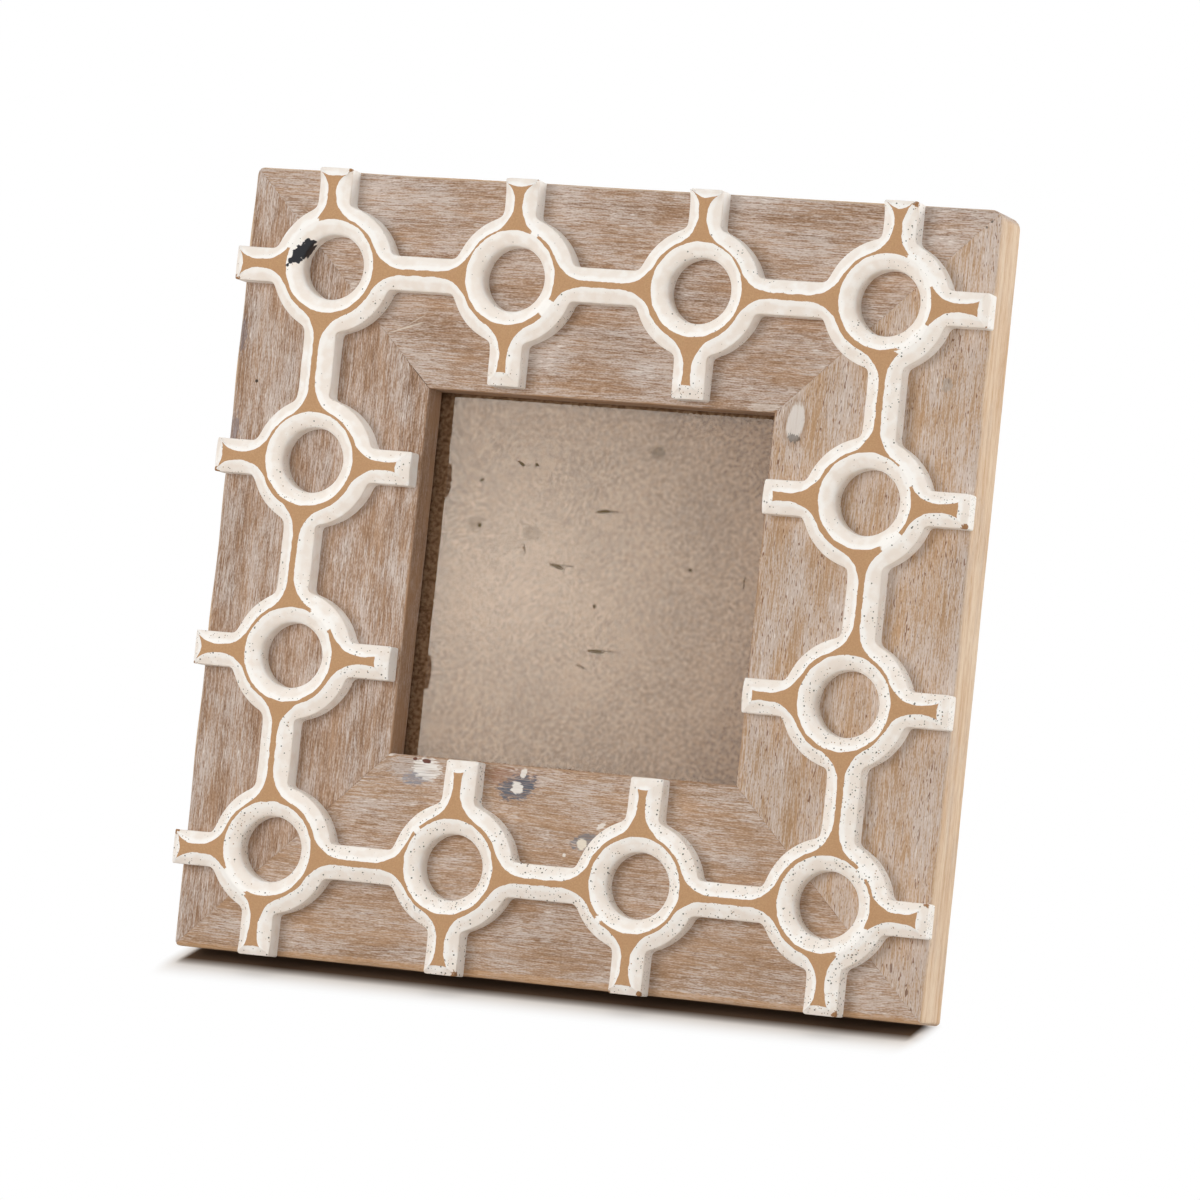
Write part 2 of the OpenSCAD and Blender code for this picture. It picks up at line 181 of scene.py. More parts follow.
class BackSettings(bpy.types.PropertyGroup):
    board_edge: length("Board edges", "Rounding of the edges of the panel and leg", 0.5)
    metal_edge: length("Metal edges", "Rounding of the edges of the fittings", 0.15)
    glass_front: length("Glass front", "Height of the front of the glass from the back", 8.0)
    board: colour("Back board", "Brown fibreboard of the panel and the leg", "#8d6b4c")
    card: colour("Card", "Brown card behind the glass", "#69492f")
    zinc: colour("Zinc", "Zinc plating of the hinge, rivets, buttons and screws", "#b9b6ae")
    nail: colour("Nail steel", "Bare steel of the corner nails", "#8a8c8e")


class StageSettings(bpy.types.PropertyGroup):
    key_power: setting("Key power", "Large soft light from the left", 19.3)
    front_power: setting("Front power", "Soft light near the camera", 6.4)
    top_power: setting("Top power", "Soft light from straight above", 8.5)
    fill_power: setting("Fill power", "Light along the face, from the right", 9.7)
    back_power: setting("Back power", "Soft light behind the frame", 15.0)
    side_power: setting("Side power", "Soft light on the right side", 14.3)
    sheen_power: setting("Sheen power", "Lamp mirrored in the glass", 0.0097)
    sheen_beam: FloatProperty(
        name="Sheen beam",
        description="Angle that the mirrored lamp shines over",
        default=math.radians(7.5),
        subtype="ANGLE",
    )
    ambient: setting("Ambient", "Even light from all round", 0.14)
    floor: colour("Floor", "White floor, where the shadow shows on it", "#efe8e0")
    floor_bounce: colour("Floor bounce", "The light that the floor sends back up", "#bfb6ad")
    # Colour of a painted shadow on the floor right under the frame
    painted_floor_shadow: colour("Floor under the frame", "The floor where light hardly gets in", "#6f5b4b")
    shadow_reach: length("Shadow reach", "How far round the frame the floor shows its shadow", 26)
    lens: setting("Lens", "Focal length in mm on a 36 mm sensor", 187.69)


def leaned(up, out):
    """World y and z of a step up the face and out from it."""
    return up * BACKWARD - out * UPRIGHT, up * UPRIGHT + out * BACKWARD


def lean_back(x, up, out):
    """World points of flat ones: a turn by the lean about the rear bottom edge, then a step forward."""
    y, z = leaned(up, out)
    return np.stack([x, y - BACK_Y, z], axis=-1)


def quarter_turn(x, up, turns):
    """Turns flat points of the bottom rail by quarter turns about the frame's middle."""
    for _ in range(turns):
        x, up = MID - up, x + MID
    return x, up


def ripple(a, b, size, seed, waves=7):
    """Smooth unevenness, mostly between -1 and 1: 1.6 times the mean of sine waves over a and b. Their
    directions, phases and lengths, of 0.7 to 1.4 times the size, are drawn from the seed."""
    draw = np.random.default_rng(seed)
    total = np.zeros(np.broadcast(a, b).shape)
    for heading, phase, stretch in draw.uniform((0, 0, 0.7), (math.pi, math.tau, 1.4), (waves, 3)):
        total += np.sin(math.tau * (a * np.cos(heading) + b * np.sin(heading)) / (size * stretch) + phase)
    return total / waves * 1.6


def placed(name, mesh, material, body):
    """A piece made of a mesh, shaded smooth between its sharp edges, that rides on a body."""
    mesh.polygons.foreach_set("use_smooth", np.ones(len(mesh.polygons), bool))
    mesh.set_sharp_from_angle(angle=SHARP)
    mesh.materials.append(material)
    piece = bpy.data.objects.new(name, mesh)
    bpy.context.scene.collection.objects.link(piece)
    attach(piece, body)
    return piece


def new_piece(name, points, faces, material):
    """Puts points and faces, each an array of rows of corner numbers, into a piece of the body root."""
    mesh = bpy.data.meshes.new(name)
    mesh.vertices.add(len(points))
    mesh.vertices.foreach_set("co", np.asarray(points, np.float32).ravel())
    corners = np.concatenate([np.asarray(rows, np.int32).ravel() for rows in faces])
    counts = np.concatenate([np.full(len(rows), rows.shape[1]) for rows in faces])
    mesh.loops.add(len(corners))
    mesh.loops.foreach_set("vertex_index", corners)
    mesh.polygons.add(len(counts))
    mesh.polygons.foreach_set("loop_start", np.concatenate([[0], np.cumsum(counts)[:-1]]).astype(np.int32))
    mesh.update(calc_edges=True)
    mesh.validate()
    return placed(name, mesh, material, "root")


def dressed(node, name, edge, material, body="root"):
    """A copy of a CAD node with its loose triangles merged into faces and its edges rounded."""
    work = bmesh.new()
    work.from_mesh(frame["nodes"][node].data)
    bmesh.ops.remove_doubles(work, verts=work.verts, dist=SAME_PLACE)
    bmesh.ops.dissolve_limit(work, angle_limit=SAME_PLANE, verts=work.verts, edges=work.edges)
    mesh = bpy.data.meshes.new(name)
    work.to_mesh(mesh)
    work.free()
    piece = placed(name, mesh, material, body)
    rounding = piece.modifiers.new("Edges", "BEVEL")
    rounding.width = edge
    rounding.segments = 2
    rounding.limit_method = "ANGLE"
    rounding.angle_limit = SHARP
    rounding.harden_normals = True
    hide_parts(node)
    return piece


def add(tree, kind, inputs=(), out=0, **settings):
    """Adds a node of a kind such as Math, with its settings. inputs gives each input a value or another
    node's output. Returns the node's output of that name or number."""
    node = tree.nodes.new(f"ShaderNode{kind}")
    for name, value in settings.items():
        setattr(node, name, value)
    for key, value in dict(inputs).items():
        if isinstance(value, bpy.types.NodeSocket):
            tree.links.new(value, node.inputs[key])
        else:
            node.inputs[key].default_value = value
    return node.outputs[out] if node.outputs else node


def new_material(name):
    """An empty material and its node tree."""
    material = bpy.data.materials.new(name)
    material.use_nodes = True
    material.node_tree.nodes.clear()
    return material, material.node_tree


def finished(material, tree, relief, sockets):
    """The material with its shader. relief is a pattern, its strength and its depth in millimetres."""
    pattern, strength, depth = relief
    normal = add(tree, "Bump", {"Height": pattern, "Strength": strength, "Distance": depth * MM})
    shader = add(tree, "BsdfPrincipled", {"Normal": normal, **sockets})
    add(tree, "OutputMaterial", {"Surface": shader})
    return material


def flat_place(tree):
    """Flat coordinates in millimetres of the surface: the lean undone, x from the middle, up from the
    bottom edge, out from the back."""
    world = add(tree, "TexCoord", out="Object")
    back = BACK_Y / MM
    scale = (1 / MM, 1 / MM, 1 / MM)
    turn = (LEAN - math.pi / 2, 0, 0)
    shift = (0, back * BACKWARD, -back * UPRIGHT)
    return add(tree, "Mapping", {"Vector": world, "Scale": scale, "Rotation": turn, "Location": shift})


def streaks(tree, place, long, wide, shift, detail=2.0, out="Fac"):
    """Noise from 0 to 1 drawn out along the first axis, long by wide in millimetres."""
    scale = (1 / long, 1 / wide, 1 / wide)
    drawn = add(tree, "Mapping", {"Vector": place, "Scale": scale, "Location": (shift, 3.7 * shift, shift)})
    return add(tree, "TexNoise", {"Vector": drawn, "Scale": 1.0, "Detail": detail}, out)


def spot(tree, place, rough, centre, radii, turn, ragged, soft=0.25):
    """1 inside an ellipsoid and 0 outside, with an edge roughened by noise. Sizes in millimetres."""
    sizes = {"Vector": place, "Location": centre, "Rotation": (0, 0, turn), "Scale": radii}
    scaled = add(tree, "Mapping", sizes, vector_type="TEXTURE")
    away = add(tree, "VectorMath", {0: scaled}, "Value", operation="LENGTH")
    edge = add(tree, "Math", {0: rough, 1: ragged, 2: away}, operation="MULTIPLY_ADD")
    middle = 1 + ragged / 2
    return add(tree, "MapRange", {0: edge, FROM_LOW: middle + soft, FROM_HIGH: middle - soft}, **SMOOTH)


# Marks on the timber, for each rail by its quarter turns: place from the frame's left and top edges,
# half width and half height, turn in degrees, colour, strength and raggedness, in millimetres
MARKS = {
    0: (
        ((130.0, 259.4), (150.0, 1.9), 0, "#bf9468", 0.55, 0.5),
        ((79.0, 194.5), (8.5, 4.2), 0, "#c9c4c2", 0.45, 1.2),
        ((80.5, 197.2), (5.0, 2.3), 8, "#7f8693", 0.8, 1.2),
        ((83.3, 194.2), (5.0, 3.6), -15, "#ece7e1", 0.95, 0.9),
        ((83.0, 191.6), (1.5, 0.7), 0, "#5a2413", 0.95, 0.8),
        ((78.9, 191.2), (0.8, 0.5), 0, "#5a2413", 0.9, 0.8),
        ((112.5, 194.5), (9.0, 3.2), 0, "#8a5f48", 0.6, 1.2),
        ((115.5, 197.6), (6.4, 4.0), 20, "#59616d", 0.95, 1.1),
        ((115.3, 197.5), (2.0, 1.9), 0, "#ece6de", 0.95, 1.0),
        ((117.1, 192.6), (1.0, 1.7), -20, "#ece6de", 0.9, 0.8),
        ((141.0, 212.8), (5.0, 2.6), 15, "#6f747c", 0.8, 1.0),
        ((139.7, 213.6), (1.8, 1.8), 0, "#e9dfce", 0.95, 0.6),
        ((145.7, 207.2), (1.7, 0.8), 35, "#e9e2da", 0.85, 0.8),
        ((134.0, 217.7), (0.6, 0.6), 0, "#e9e2da", 0.85, 0.6),
        ((70.5, 189.0), (2.2, 1.8), 0, "#e2d9d0", 0.8, 1.2),
    ),
    1: (
        ((197.4, 72.5), (4.4, 8.2), -4, "#96765a", 0.45, 0.5),
        ((197.5, 72.3), (2.9, 6.2), -6, "#dfd8d1", 0.9, 0.35),
        ((197.3, 77.6), (1.9, 1.3), 0, "#4d463f", 0.7, 2.4),
        ((256.2, 3.9), (0.6, 0.6), 0, "#40382f", 0.85, 0.5),
        ((254.8, 6.0), (0.4, 0.4), 0, "#4b4a44", 0.7, 0.5),
        ((242.7, 10.1), (0.6, 0.5), 0, "#6b7266", 0.7, 0.8),
        ((253.9, 250.2), (0.5, 1.2), 0, "#6b4426", 0.8, 1.0),
        ((248.0, 242.9), (0.4, 1.7), 0, "#6b4426", 0.7, 1.0),
        ((247.0, 57.0), (1.6, 2.4), 0, "#9b958e", 0.5, 1.4),
    ),
    2: (
        ((187.0, 68.2), (6.0, 1.3), 0, "#e4dcd3", 0.4, 1.6),
        ((59.8, 50.3), (5.8, 0.28), 20, "#ddd2c4", 0.7, 0.8),
        ((63.0, 47.6), (3.0, 0.2), 32, "#ddd2c4", 0.5, 0.8),
        ((66.6, 66.6), (4.2, 0.15), -45, "#4a392c", 0.7, 0.6),
    ),
    3: (
        ((8.1, 71.5), (0.55, 0.55), 0, "#241c17", 0.95, 0.3),
        ((0.8, 56.5), (2.2, 5.5), 0, "#77727a", 0.6, 1.6),
        ((1.4, 88.0), (2.4, 5.0), 0, "#77727a", 0.6, 1.6),
        ((66.6, 66.6), (4.2, 0.15), -45, "#4a392c", 0.7, 0.6),
    ),
}


def limed_timber(name, s, turns, seed, pores, pale, rim, gold):
    """Limed mango wood, planed and brushed. Brown and grey-pink streaks under a milky film of lime,
    white flecks where the lime stayed in the grain, short dark pores where it didn't, pale sawn sides."""
    # Real vessels are 0.1 to 0.2 mm wide. Hairs, flecks and pores are drawn a little wider, so they show
    material, tree = new_material(name)
    flat = flat_place(tree)
    half = MID / MM
    angle = -turns * math.pi / 2
    centred = add(tree, "Mapping", {"Vector": flat, "Location": (0, -half, 0)})
    turned = add(tree, "Mapping", {"Vector": centred, "Rotation": (0, 0, angle), "Location": (0, half, 0)})
    bend = streaks(tree, turned, 90, 30, seed, 1.5, "Color")
    sway = add(tree, "VectorMath", {0: bend, 1: (0, 5.0, 2.0), 2: turned}, operation="MULTIPLY_ADD")
    band = streaks(tree, sway, 70, 7, seed, 2.0)
    line = streaks(tree, sway, 24, 0.8, seed + 3, 2.0)
    grain = streaks(tree, sway, 9, 0.3, seed + 9, 1.0)
    hair = streaks(tree, sway, 3.2, 0.2, seed + 21, 0.0)
    grit = streaks(tree, sway, 0.8, 0.34, seed + 27, 0.0)
    cloud = streaks(tree, sway, 22, 8, seed + 33, 3.0)

    # The bare wood's tone is the sum of bands, growth lines, brushed grain, hairs and grit
    wood = -1.39
    for pattern, weight in ((band, 1.05), (line, 0.6), (grain, 0.9), (hair, 0.65), (grit, 0.55)):
        wood = add(tree, "Math", {0: pattern, 1: weight, 2: wood}, operation="MULTIPLY_ADD")
    bare = add(tree, "ValToRGB", {"Fac": wood})
    stops = bare.node.color_ramp.elements
    stops[0].color = s.dark
    stops[1].color = s.light
    stops.new(0.5).color = s.middle

    # Lime stays in the open grain, more of it in some patches and along the outer edge, less at the back
    _, across, out = add(tree, "SeparateXYZ", {0: turned}).node.outputs
    film = add(tree, "MapRange", {0: across, FROM_HIGH: 14, TO_LOW: rim, TO_HIGH: 0})
    unlimed = add(tree, "MapRange", {0: out, FROM_LOW: 1, FROM_HIGH: 3, TO_LOW: -0.4, TO_HIGH: 0})
    film = add(tree, "Math", {0: film, 1: unlimed}, operation="ADD")
    lime_grain = streaks(tree, sway, 7, 0.26, seed + 47, 1.0)
    for pattern, weight in ((cloud, 1.05), (line, 0.7), (lime_grain, 1.25), (hair, 0.65), (grit, 0.5)):
        film = add(tree, "Math", {0: pattern, 1: weight, 2: film}, operation="MULTIPLY_ADD")
    low, high = 1.8 - pale, 2.55 - pale
    film = add(tree, "MapRange", {0: film, FROM_LOW: low, FROM_HIGH: high, TO_HIGH: 0.8}, **SMOOTH)
    fleck = streaks(tree, sway, 3.4, 0.24, seed + 71, 0.0)
    fleck = add(tree, "Math", {0: cloud, 1: 0.5, 2: fleck}, operation="MULTIPLY_ADD")
    fleck = add(tree, "MapRange", {0: fleck, FROM_LOW: 0.96, FROM_HIGH: 1.08, TO_HIGH: 0.6}, **SMOOTH)
    pore = streaks(tree, sway, 1.9, 0.36, seed + 61, 0.0)
    pore = add(tree, "Math", {0: line, 1: 0.6, 2: pore}, operation="MULTIPLY_ADD")
    pore = add(tree, "MapRange", {0: pore, FROM_LOW: 1.02, FROM_HIGH: 1.1, TO_HIGH: pores}, **SMOOTH)

    # The sawn outer side is paler, down to the worn arris
    side = add(tree, "Math", {0: cloud, 1: 1.2, 2: across}, operation="MULTIPLY_ADD")
    side = add(tree, "MapRange", {0: side, FROM_LOW: 1.5, FROM_HIGH: 0.7, TO_HIGH: 0.85})
    sawn = streaks(tree, sway, 42, 2.8, seed + 80, 5.0)
    for pattern, weight in ((grain, 0.5), (hair, 0.4)):
        sawn = add(tree, "Math", {0: pattern, 1: weight, 2: sawn}, operation="MULTIPLY_ADD")
    sawn = add(tree, "MapRange", {0: sawn, FROM_LOW: 0.68, FROM_HIGH: 1.1})
    sawn = add(tree, "Mix", {0: sawn, UNDER: s.side_dark, OVER: s.side}, MIXED, data_type="RGBA")

    # The window's walls are brown wood with less lime
    brink = RAIL_W / MM + 0.5
    reveal = add(tree, "Math", {0: cloud, 1: 1.0, 2: across}, operation="MULTIPLY_ADD")
    reveal = add(tree, "MapRange", {0: reveal, FROM_LOW: brink - 0.9, FROM_HIGH: brink - 0.35})
    smear = add(tree, "MapRange", {0: cloud, FROM_LOW: 0.42, FROM_HIGH: 0.58, TO_LOW: 0.25, TO_HIGH: 0.8})
    reveal = add(tree, "Math", {0: reveal, 1: smear}, operation="MULTIPLY")

    # Large ragged marks lie thin between the grain, small or sharp ones nearly solid
    marks = []
    blur = streaks(tree, sway, 1.8, 0.5, seed + 90, 4.0)
    for place, radii, turn, hex_code, strength, ragged in MARKS[turns]:
        centre = (place[0] - half, 2 * half - place[1], RAIL_T / MM)
        inside = spot(tree, flat, blur, centre, (*radii, 5.0), math.radians(turn), ragged * 1.6, 0.15)
        thin = strength * (0.3 if min(radii) > 2 and ragged > 0.6 else 0.85)
        ends = {FROM_LOW: 0.36, FROM_HIGH: 0.54, TO_LOW: thin, TO_HIGH: strength}
        patchy = add(tree, "MapRange", {0: grain, **ends})
        inside = add(tree, "Math", {0: inside, 1: patchy}, operation="MULTIPLY")
        marks.append((inside, tone(hex_code)))
    layers = (
        (gold, s.gold),
        (film, s.lime),
        (fleck, tone("#efe9e3")),
        (pore, s.pore),
        (side, sawn),
        (reveal, s.reveal),
        *marks,
    )
    paint = bare
    for share, over in layers:
        paint = add(tree, "Mix", {0: share, UNDER: paint, OVER: over}, MIXED, data_type="RGBA")
    relief = add(tree, "Math", {0: pore, 1: -1.0, 2: grain}, operation="MULTIPLY_ADD")
    rough = add(tree, "MapRange", {0: cloud, FROM_LOW: 0.3, FROM_HIGH: 0.7, TO_LOW: 0.62, TO_HIGH: 0.82})
    sockets = {"Base Color": paint, "Roughness": rough, "Specular IOR Level": 0.3}
    return finished(material, tree, (relief, 0.45, 0.2), sockets)


def rounded_section(corners, radii, counts):
    """A closed outline: each corner replaced by a quarter arc of 4 steps, each side cut into equal
    steps. Corners turn left or right by a right angle. Returns points and their outward normals."""
    corners = np.array(corners, float)
    points, normals = [], []
    total = len(corners)
    for k in range(total):
        here, before, after = corners[k], corners[k - 1], corners[(k + 1) % total]
        come = (here - before) / np.linalg.norm(here - before)
        go = (after - here) / np.linalg.norm(after - here)
        radius = radii[k]
        t = np.linspace(0, math.pi / 2, 5)[:, None]
        # From the end of one side to the start of the next, about the arc's centre
        centre = here - radius * come + radius * go
        arc = centre - radius * go * np.cos(t) + radius * come * np.sin(t)
        convex = np.sign(come[1] * go[0] - come[0] * go[1])
        outward = (-go * np.cos(t) + come * np.sin(t)) * convex
        points.append(arc)
        normals.append(outward)
        start = here + radius * go
        stop = after - radii[(k + 1) % total] * go
        steps = np.linspace(0, 1, counts[k] + 1)[1:-1, None]
        points.append(start + (stop - start) * steps)
        out = np.array([-go[1], go[0]])
        normals.append(np.repeat(out[None], len(steps), 0))
    return np.concatenate(points), np.concatenate(normals)


def rail_mesh(name, s, turns, material):
    """A mitred length of timber: its section in width and height carried along the rail between the
    two mitre planes, x = t (middle - width), and pushed in by wear, grooves and hollows."""
    inner = RAIL_W
    lip = RAIL_W - s.rebate_w
    outline = [(0, 0), (0, RAIL_T), (inner, RAIL_T), (inner, s.rebate_h), (lip, s.rebate_h), (lip, 0)]
    # Steps along each side of that outline
    counts = (9, 64, 7, 3, 5, 22)
    small = 0.3 * MM
    # The arrises vary along the rail between a crisp section and a worn one
    crisp_radii = (s.arris_back, s.arris_front * 0.7, s.arris_window * 0.7, small, small, small)
    worn_radii = (s.arris_back * 1.6, s.arris_front * 1.9, s.arris_window, 2 * small, small, 2 * small)
    crisp, outward = rounded_section(outline, crisp_radii, counts)
    worn, _ = rounded_section(outline, worn_radii, counts)

    # Sections stand close together at the mitres, where the groove is, and evenly between
    ends = np.array([0.0, 0.25, 0.6, 1.2]) * MM / MID
    along = np.linspace(ends[-1], 2 - ends[-1], 230)
    t = np.concatenate([ends[:-1], along, 2 - ends[:-1][::-1]]) - 1
    wear = 0.5 + 0.5 * ripple(t * MID, 0, 35 * MM, turns)
    share = np.clip(wear, 0, 1)[:, None, None]
    section = crisp[None] * (1 - share) + worn[None] * share

    # Everything is pushed in: the groove at the mitres, hollows of the plane 40 mm long, fine brushed
    # ridges 1.7 mm apart, and a little all round, so that the rail stays inside the solid's own box
    from_mitre = (1 - np.abs(t)) * MID
    groove = s.groove * np.exp(-from_mitre / (0.35 * MM))
    width = section[..., 0]
    x = t[:, None] * (MID - width)
    hollow = s.uneven * (0.5 + 0.5 * ripple(x, width * 3, 40 * MM, turns + 10))
    hollow += 0.35 * s.uneven * (0.5 + 0.5 * ripple(x / 9, width, 1.7 * MM, turns + 20))
    inset = 0.04 * MM + hollow + groove[:, None]
    section = section - outward[None] * inset[..., None]
    width = np.clip(section[..., 0], 0.0, None)
    height = section[..., 1]
    x = t[:, None] * (MID - width)

    # Round the frame's corner at each end: nested squares round the corner's centre become arcs
    radii = (s.corner_bl, s.corner_br, s.corner_tr, s.corner_tl)
    for end, radius in ((-1, radii[turns]), (1, radii[(turns + 1) % 4])):
        near_side = radius - (MID - end * x)
        near_edge = radius - width
        inside = (near_side > 0) & (near_edge > 0)
        pull = np.maximum(near_side, near_edge) / np.maximum(np.hypot(near_side, near_edge), 1e-9)
        x = np.where(inside, end * (MID - radius + near_side * pull), x)
        width = np.where(inside, radius - near_edge * pull, width)

    flat_x, flat_up = quarter_turn(x, width, turns)
    points = lean_back(flat_x, flat_up, height).reshape(-1, 3)
    rows, cols = x.shape
    number = np.arange(rows * cols).reshape(rows, cols)
    nextward = np.roll(number, -1, axis=1)
    quads = np.stack([number[1:], nextward[1:], nextward[:-1], number[:-1]], -1).reshape(-1, 4)
    faces = [quads, number[:1], number[-1:, ::-1]]
    return new_piece(name, points, faces, material)


class PICTURE_FRAME_OT_timber(bpy.types.Operator):
    """Make the four mitred lengths of limed timber"""

    bl_idname = "picture_frame.timber"
    bl_label = "Timber"

    def execute(self, context):
        s = context.scene.frame_timber
        # How far the pores show on each rail, how much lime it took, how much more at its outer edge,
        # and how much of it is golden sapwood
        rails = (
            ("bottom_rail", 0.5, 0.0, 0.05, 0.15),
            ("right_stile", 0.85, 0.1, 0.1, 0.45),
            ("top_rail", 0.45, 0.06, 0.05, 0.05),
            ("left_stile", 0.35, 0.02, 0.0, 0.0),
        )
        for turns, (node, *amounts) in enumerate(rails):
            wood = limed_timber(f"Limed mango wood {turns + 1}", s, turns, 17.3 * (turns + 1), *amounts)
            piece = rail_mesh(f"timber_{node}", s, turns, wood)
            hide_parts(node)
        return {"FINISHED"}


# Directions of a ring's arms in the flat plane: right, up, left and down
ARMS = np.array([(1, 0), (0, 1), (-1, 0), (0, -1)], float)

# For outer stubs to the right, up, left and down: the fishtail's share of the full flare, then in
# millimetres how far its horns run on, and how much longer the stub is, as the rings sit a little high
OUTER_TIPS = ((0.4, 0.5, 0.0), (1.0, 2.2, -1.0), (0.9, 1.6, 0.0), (0.5, 0.6, 0.6))
# Rounding of a stub's outer corners
CORNER_R = 0.7 * MM
# Fall of the bevel for each unit of its width in plan
BEVEL_SLOPE = 2.6 / 4.65

# Arcs of the rings' bare lines that are painted over: column from the left, row from the top, and the
# arc's two angles in degrees, anticlockwise from the right
PAINTED_OVER = (
    (0, 0, 112, 158), (1, 0, 63, 69), (1, 0, 318, 336), (3, 0, 24, 66), (3, 0, 294, 336),
    (3, 1, 24, 48), (3, 1, 300, 324), (0, 2, 36, 66), (0, 3, 210, 246), (1, 3, 136, 141),
    (2, 3, 226, 231), (3, 3, 36, 48), (3, 3, 294, 336),
)


class Lattice:
    """Plan of the lattice in flat metres. A path is a pair of point rows: the edge of the bare top, and
    the foot of the wall below it. The material is always on a path's left."""

    def __init__(self, s):
        self.s = s
        last = s.ring_count - 1
        pitch = (FRAME_W - 2 * s.ring_inset) / last
        self.rings = [
            (i, j) for i in range(last + 1) for j in range(last + 1) if i in (0, last) or j in (0, last)
        ]
        self.last = last
        self.half_pitch = pitch / 2
        self.centre = {
            (i, j): np.array([(i - last / 2) * pitch, MID + s.ring_raise + (j - last / 2) * pitch])
            for i, j in self.rings
        }

    def line_shift(self, ring):
        """How far a ring's bars and stubs run beside its centre, in x and up."""
        i, j = ring
        sideways = {0: -self.s.bar_out, self.last: self.s.bar_out}.get(i, 0.0)
        return np.array([sideways, -self.s.bar_out if j == 0 else 0.0])

    def neighbour(self, ring, arm):
        """The ring along an arm, or None."""
        found = tuple(int(v) for v in np.add(ring, ARMS[arm]))
        return found if found in self.centre else None

    def arm_sizes(self, ring, arm):
        """Half widths of the bare line and the wall, fillet radius, and a stub's end, tip and flare."""
        s = self.s
        if self.neighbour(ring, arm):
            return s.bare_bar_half, s.bar_half, s.fillet_r, None, None, None
        if not self.is_outer(ring, arm):
            return s.bare_inner_half, s.stub_half, s.fillet_r, s.inner_end, s.inner_tip, s.inner_flare
        share, _, longer = OUTER_TIPS[arm]
        end, tip = s.outer_end + longer * MM, s.outer_tip + longer * MM
        return s.bare_outer_half, s.stub_half, s.outer_fillet_r, end, tip, s.outer_flare * share

    def is_outer(self, ring, arm):
        """Whether an arm points off the grid of rings."""
        beyond = np.add(ring, ARMS[arm])
        return beyond.min() < 0 or beyond.max() > self.last

    def edge(self, ring, arm, hand):
        """One edge of an arm, from its ring outwards: hand is 1 for the arm's left and -1 for its right.
        A fillet is an arc about a centre outside the lattice. Its foot is where the ray from that centre
        first meets the arm's wall or the ring's wall."""
        s = self.s
        bare, wall, fillet, end, tip, flare = self.arm_sizes(ring, arm)
        centre, out = self.centre[ring], ARMS[arm]
        left = ARMS[(arm + 1) % 4]
        beside = float(self.line_shift(ring) @ left)
        lateral = beside + hand * (bare + fillet)
        start = math.sqrt((s.bare_ring_r + fillet) ** 2 - lateral**2)
        hub = centre + out * start + left * lateral
        to_line = -hand * left
        to_ring = (centre - hub) / np.linalg.norm(centre - hub)
        sweep = math.acos(np.clip(to_line @ to_ring, -1, 1))
        t = np.linspace(1, 0, 15)[:, None]
        rays = (np.sin((1 - t) * sweep) * to_line + np.sin(t * sweep) * to_ring) / math.sin(sweep)
        to_wall = (bare + fillet - wall) / np.maximum(rays @ to_line, 1e-6)
        facing = rays @ (hub - centre)
        inside = facing**2 - ((hub - centre) @ (hub - centre) - s.ring_r**2)
        to_round = np.where(inside > 0, -facing - np.sqrt(np.maximum(inside, 0)), np.inf)
        top = hub + fillet * rays
        # The smaller of the two, with the corner between them filled as a cutter leaves it
        soft = 0.8 * MM
        nearer = -soft * np.log(np.exp(-to_wall / soft) + np.exp(-to_round / soft))
        foot = hub + nearer[:, None] * rays
        stop = self.half_pitch if end is None else tip + self.horn(ring, arm, hand) * MM
        part = np.linspace(0, 1, 12)[1:, None]
        along_top = start + (stop - start) * part
        spread = 0 if end is None else flare * part**3
        foot_stop = stop if end is None else end - CORNER_R
        along_foot = start + (foot_stop - start) * part
        top_line = centre + out * along_top + left * (beside + hand * (bare + spread))
        foot_line = centre + out * along_foot + left * (beside + hand * wall)
        return np.concatenate([top, top_line]), np.concatenate([foot, foot_line])

    def corner(self, ring, arm):
        """From the left edge of an arm, round the ring's outline, to the right edge of the next arm."""
        first = [rows[::-1] for rows in self.edge(ring, arm, 1)]
        second = self.edge(ring, (arm + 1) % 4, -1)
        centre = self.centre[ring]
        begin = math.atan2(*(first[0][-1] - centre)[::-1])
        stop = math.atan2(*(second[0][0] - centre)[::-1])
        angle = np.linspace(begin, begin + (stop - begin) % math.tau, 12)[1:-1, None]
        spoke = np.concatenate([np.cos(angle), np.sin(angle)], 1)
        return (
            np.concatenate([first[0], centre + self.s.bare_ring_r * spoke, second[0]]),
            np.concatenate([first[1], centre + self.s.ring_r * spoke, second[1]]),
        )

    def stub_end(self, ring, arm):
        """Across the end of a stub, from its right edge to its left, with rounded corners."""
        bare, wall, _, end, tip, flare = self.arm_sizes(ring, arm)
        centre, out, left = self.centre[ring], ARMS[arm], ARMS[(arm + 1) % 4]
        beside = float(self.line_shift(ring) @ left)
        half = bare + flare
        angle = np.linspace(0, math.pi / 2, 5)[:-1]
        corner = np.stack([end + CORNER_R * (np.sin(angle) - 1), -wall + CORNER_R * (1 - np.cos(angle))], 1)
        cross = np.linspace(CORNER_R - wall, wall - CORNER_R, 15)
        foot = np.concatenate([corner[1:], np.stack([end + 0 * cross, cross], 1), (corner * (1, -1))[::-1]])
        # The bare line's end is hollow between two horns
        part = np.linspace(-1, 1, len(foot) + 1)[1:]
        right, left_horn = (self.horn(ring, arm, hand) * MM for hand in (-1, 1))
        rise = np.where(part < 0, right, left_horn) * np.abs(part) ** 1.5
        top = np.stack([tip + rise, half * part], 1)
        return tuple(centre + rows[:, :1] * out + (rows[:, 1:] + beside) * left for rows in (top, foot))

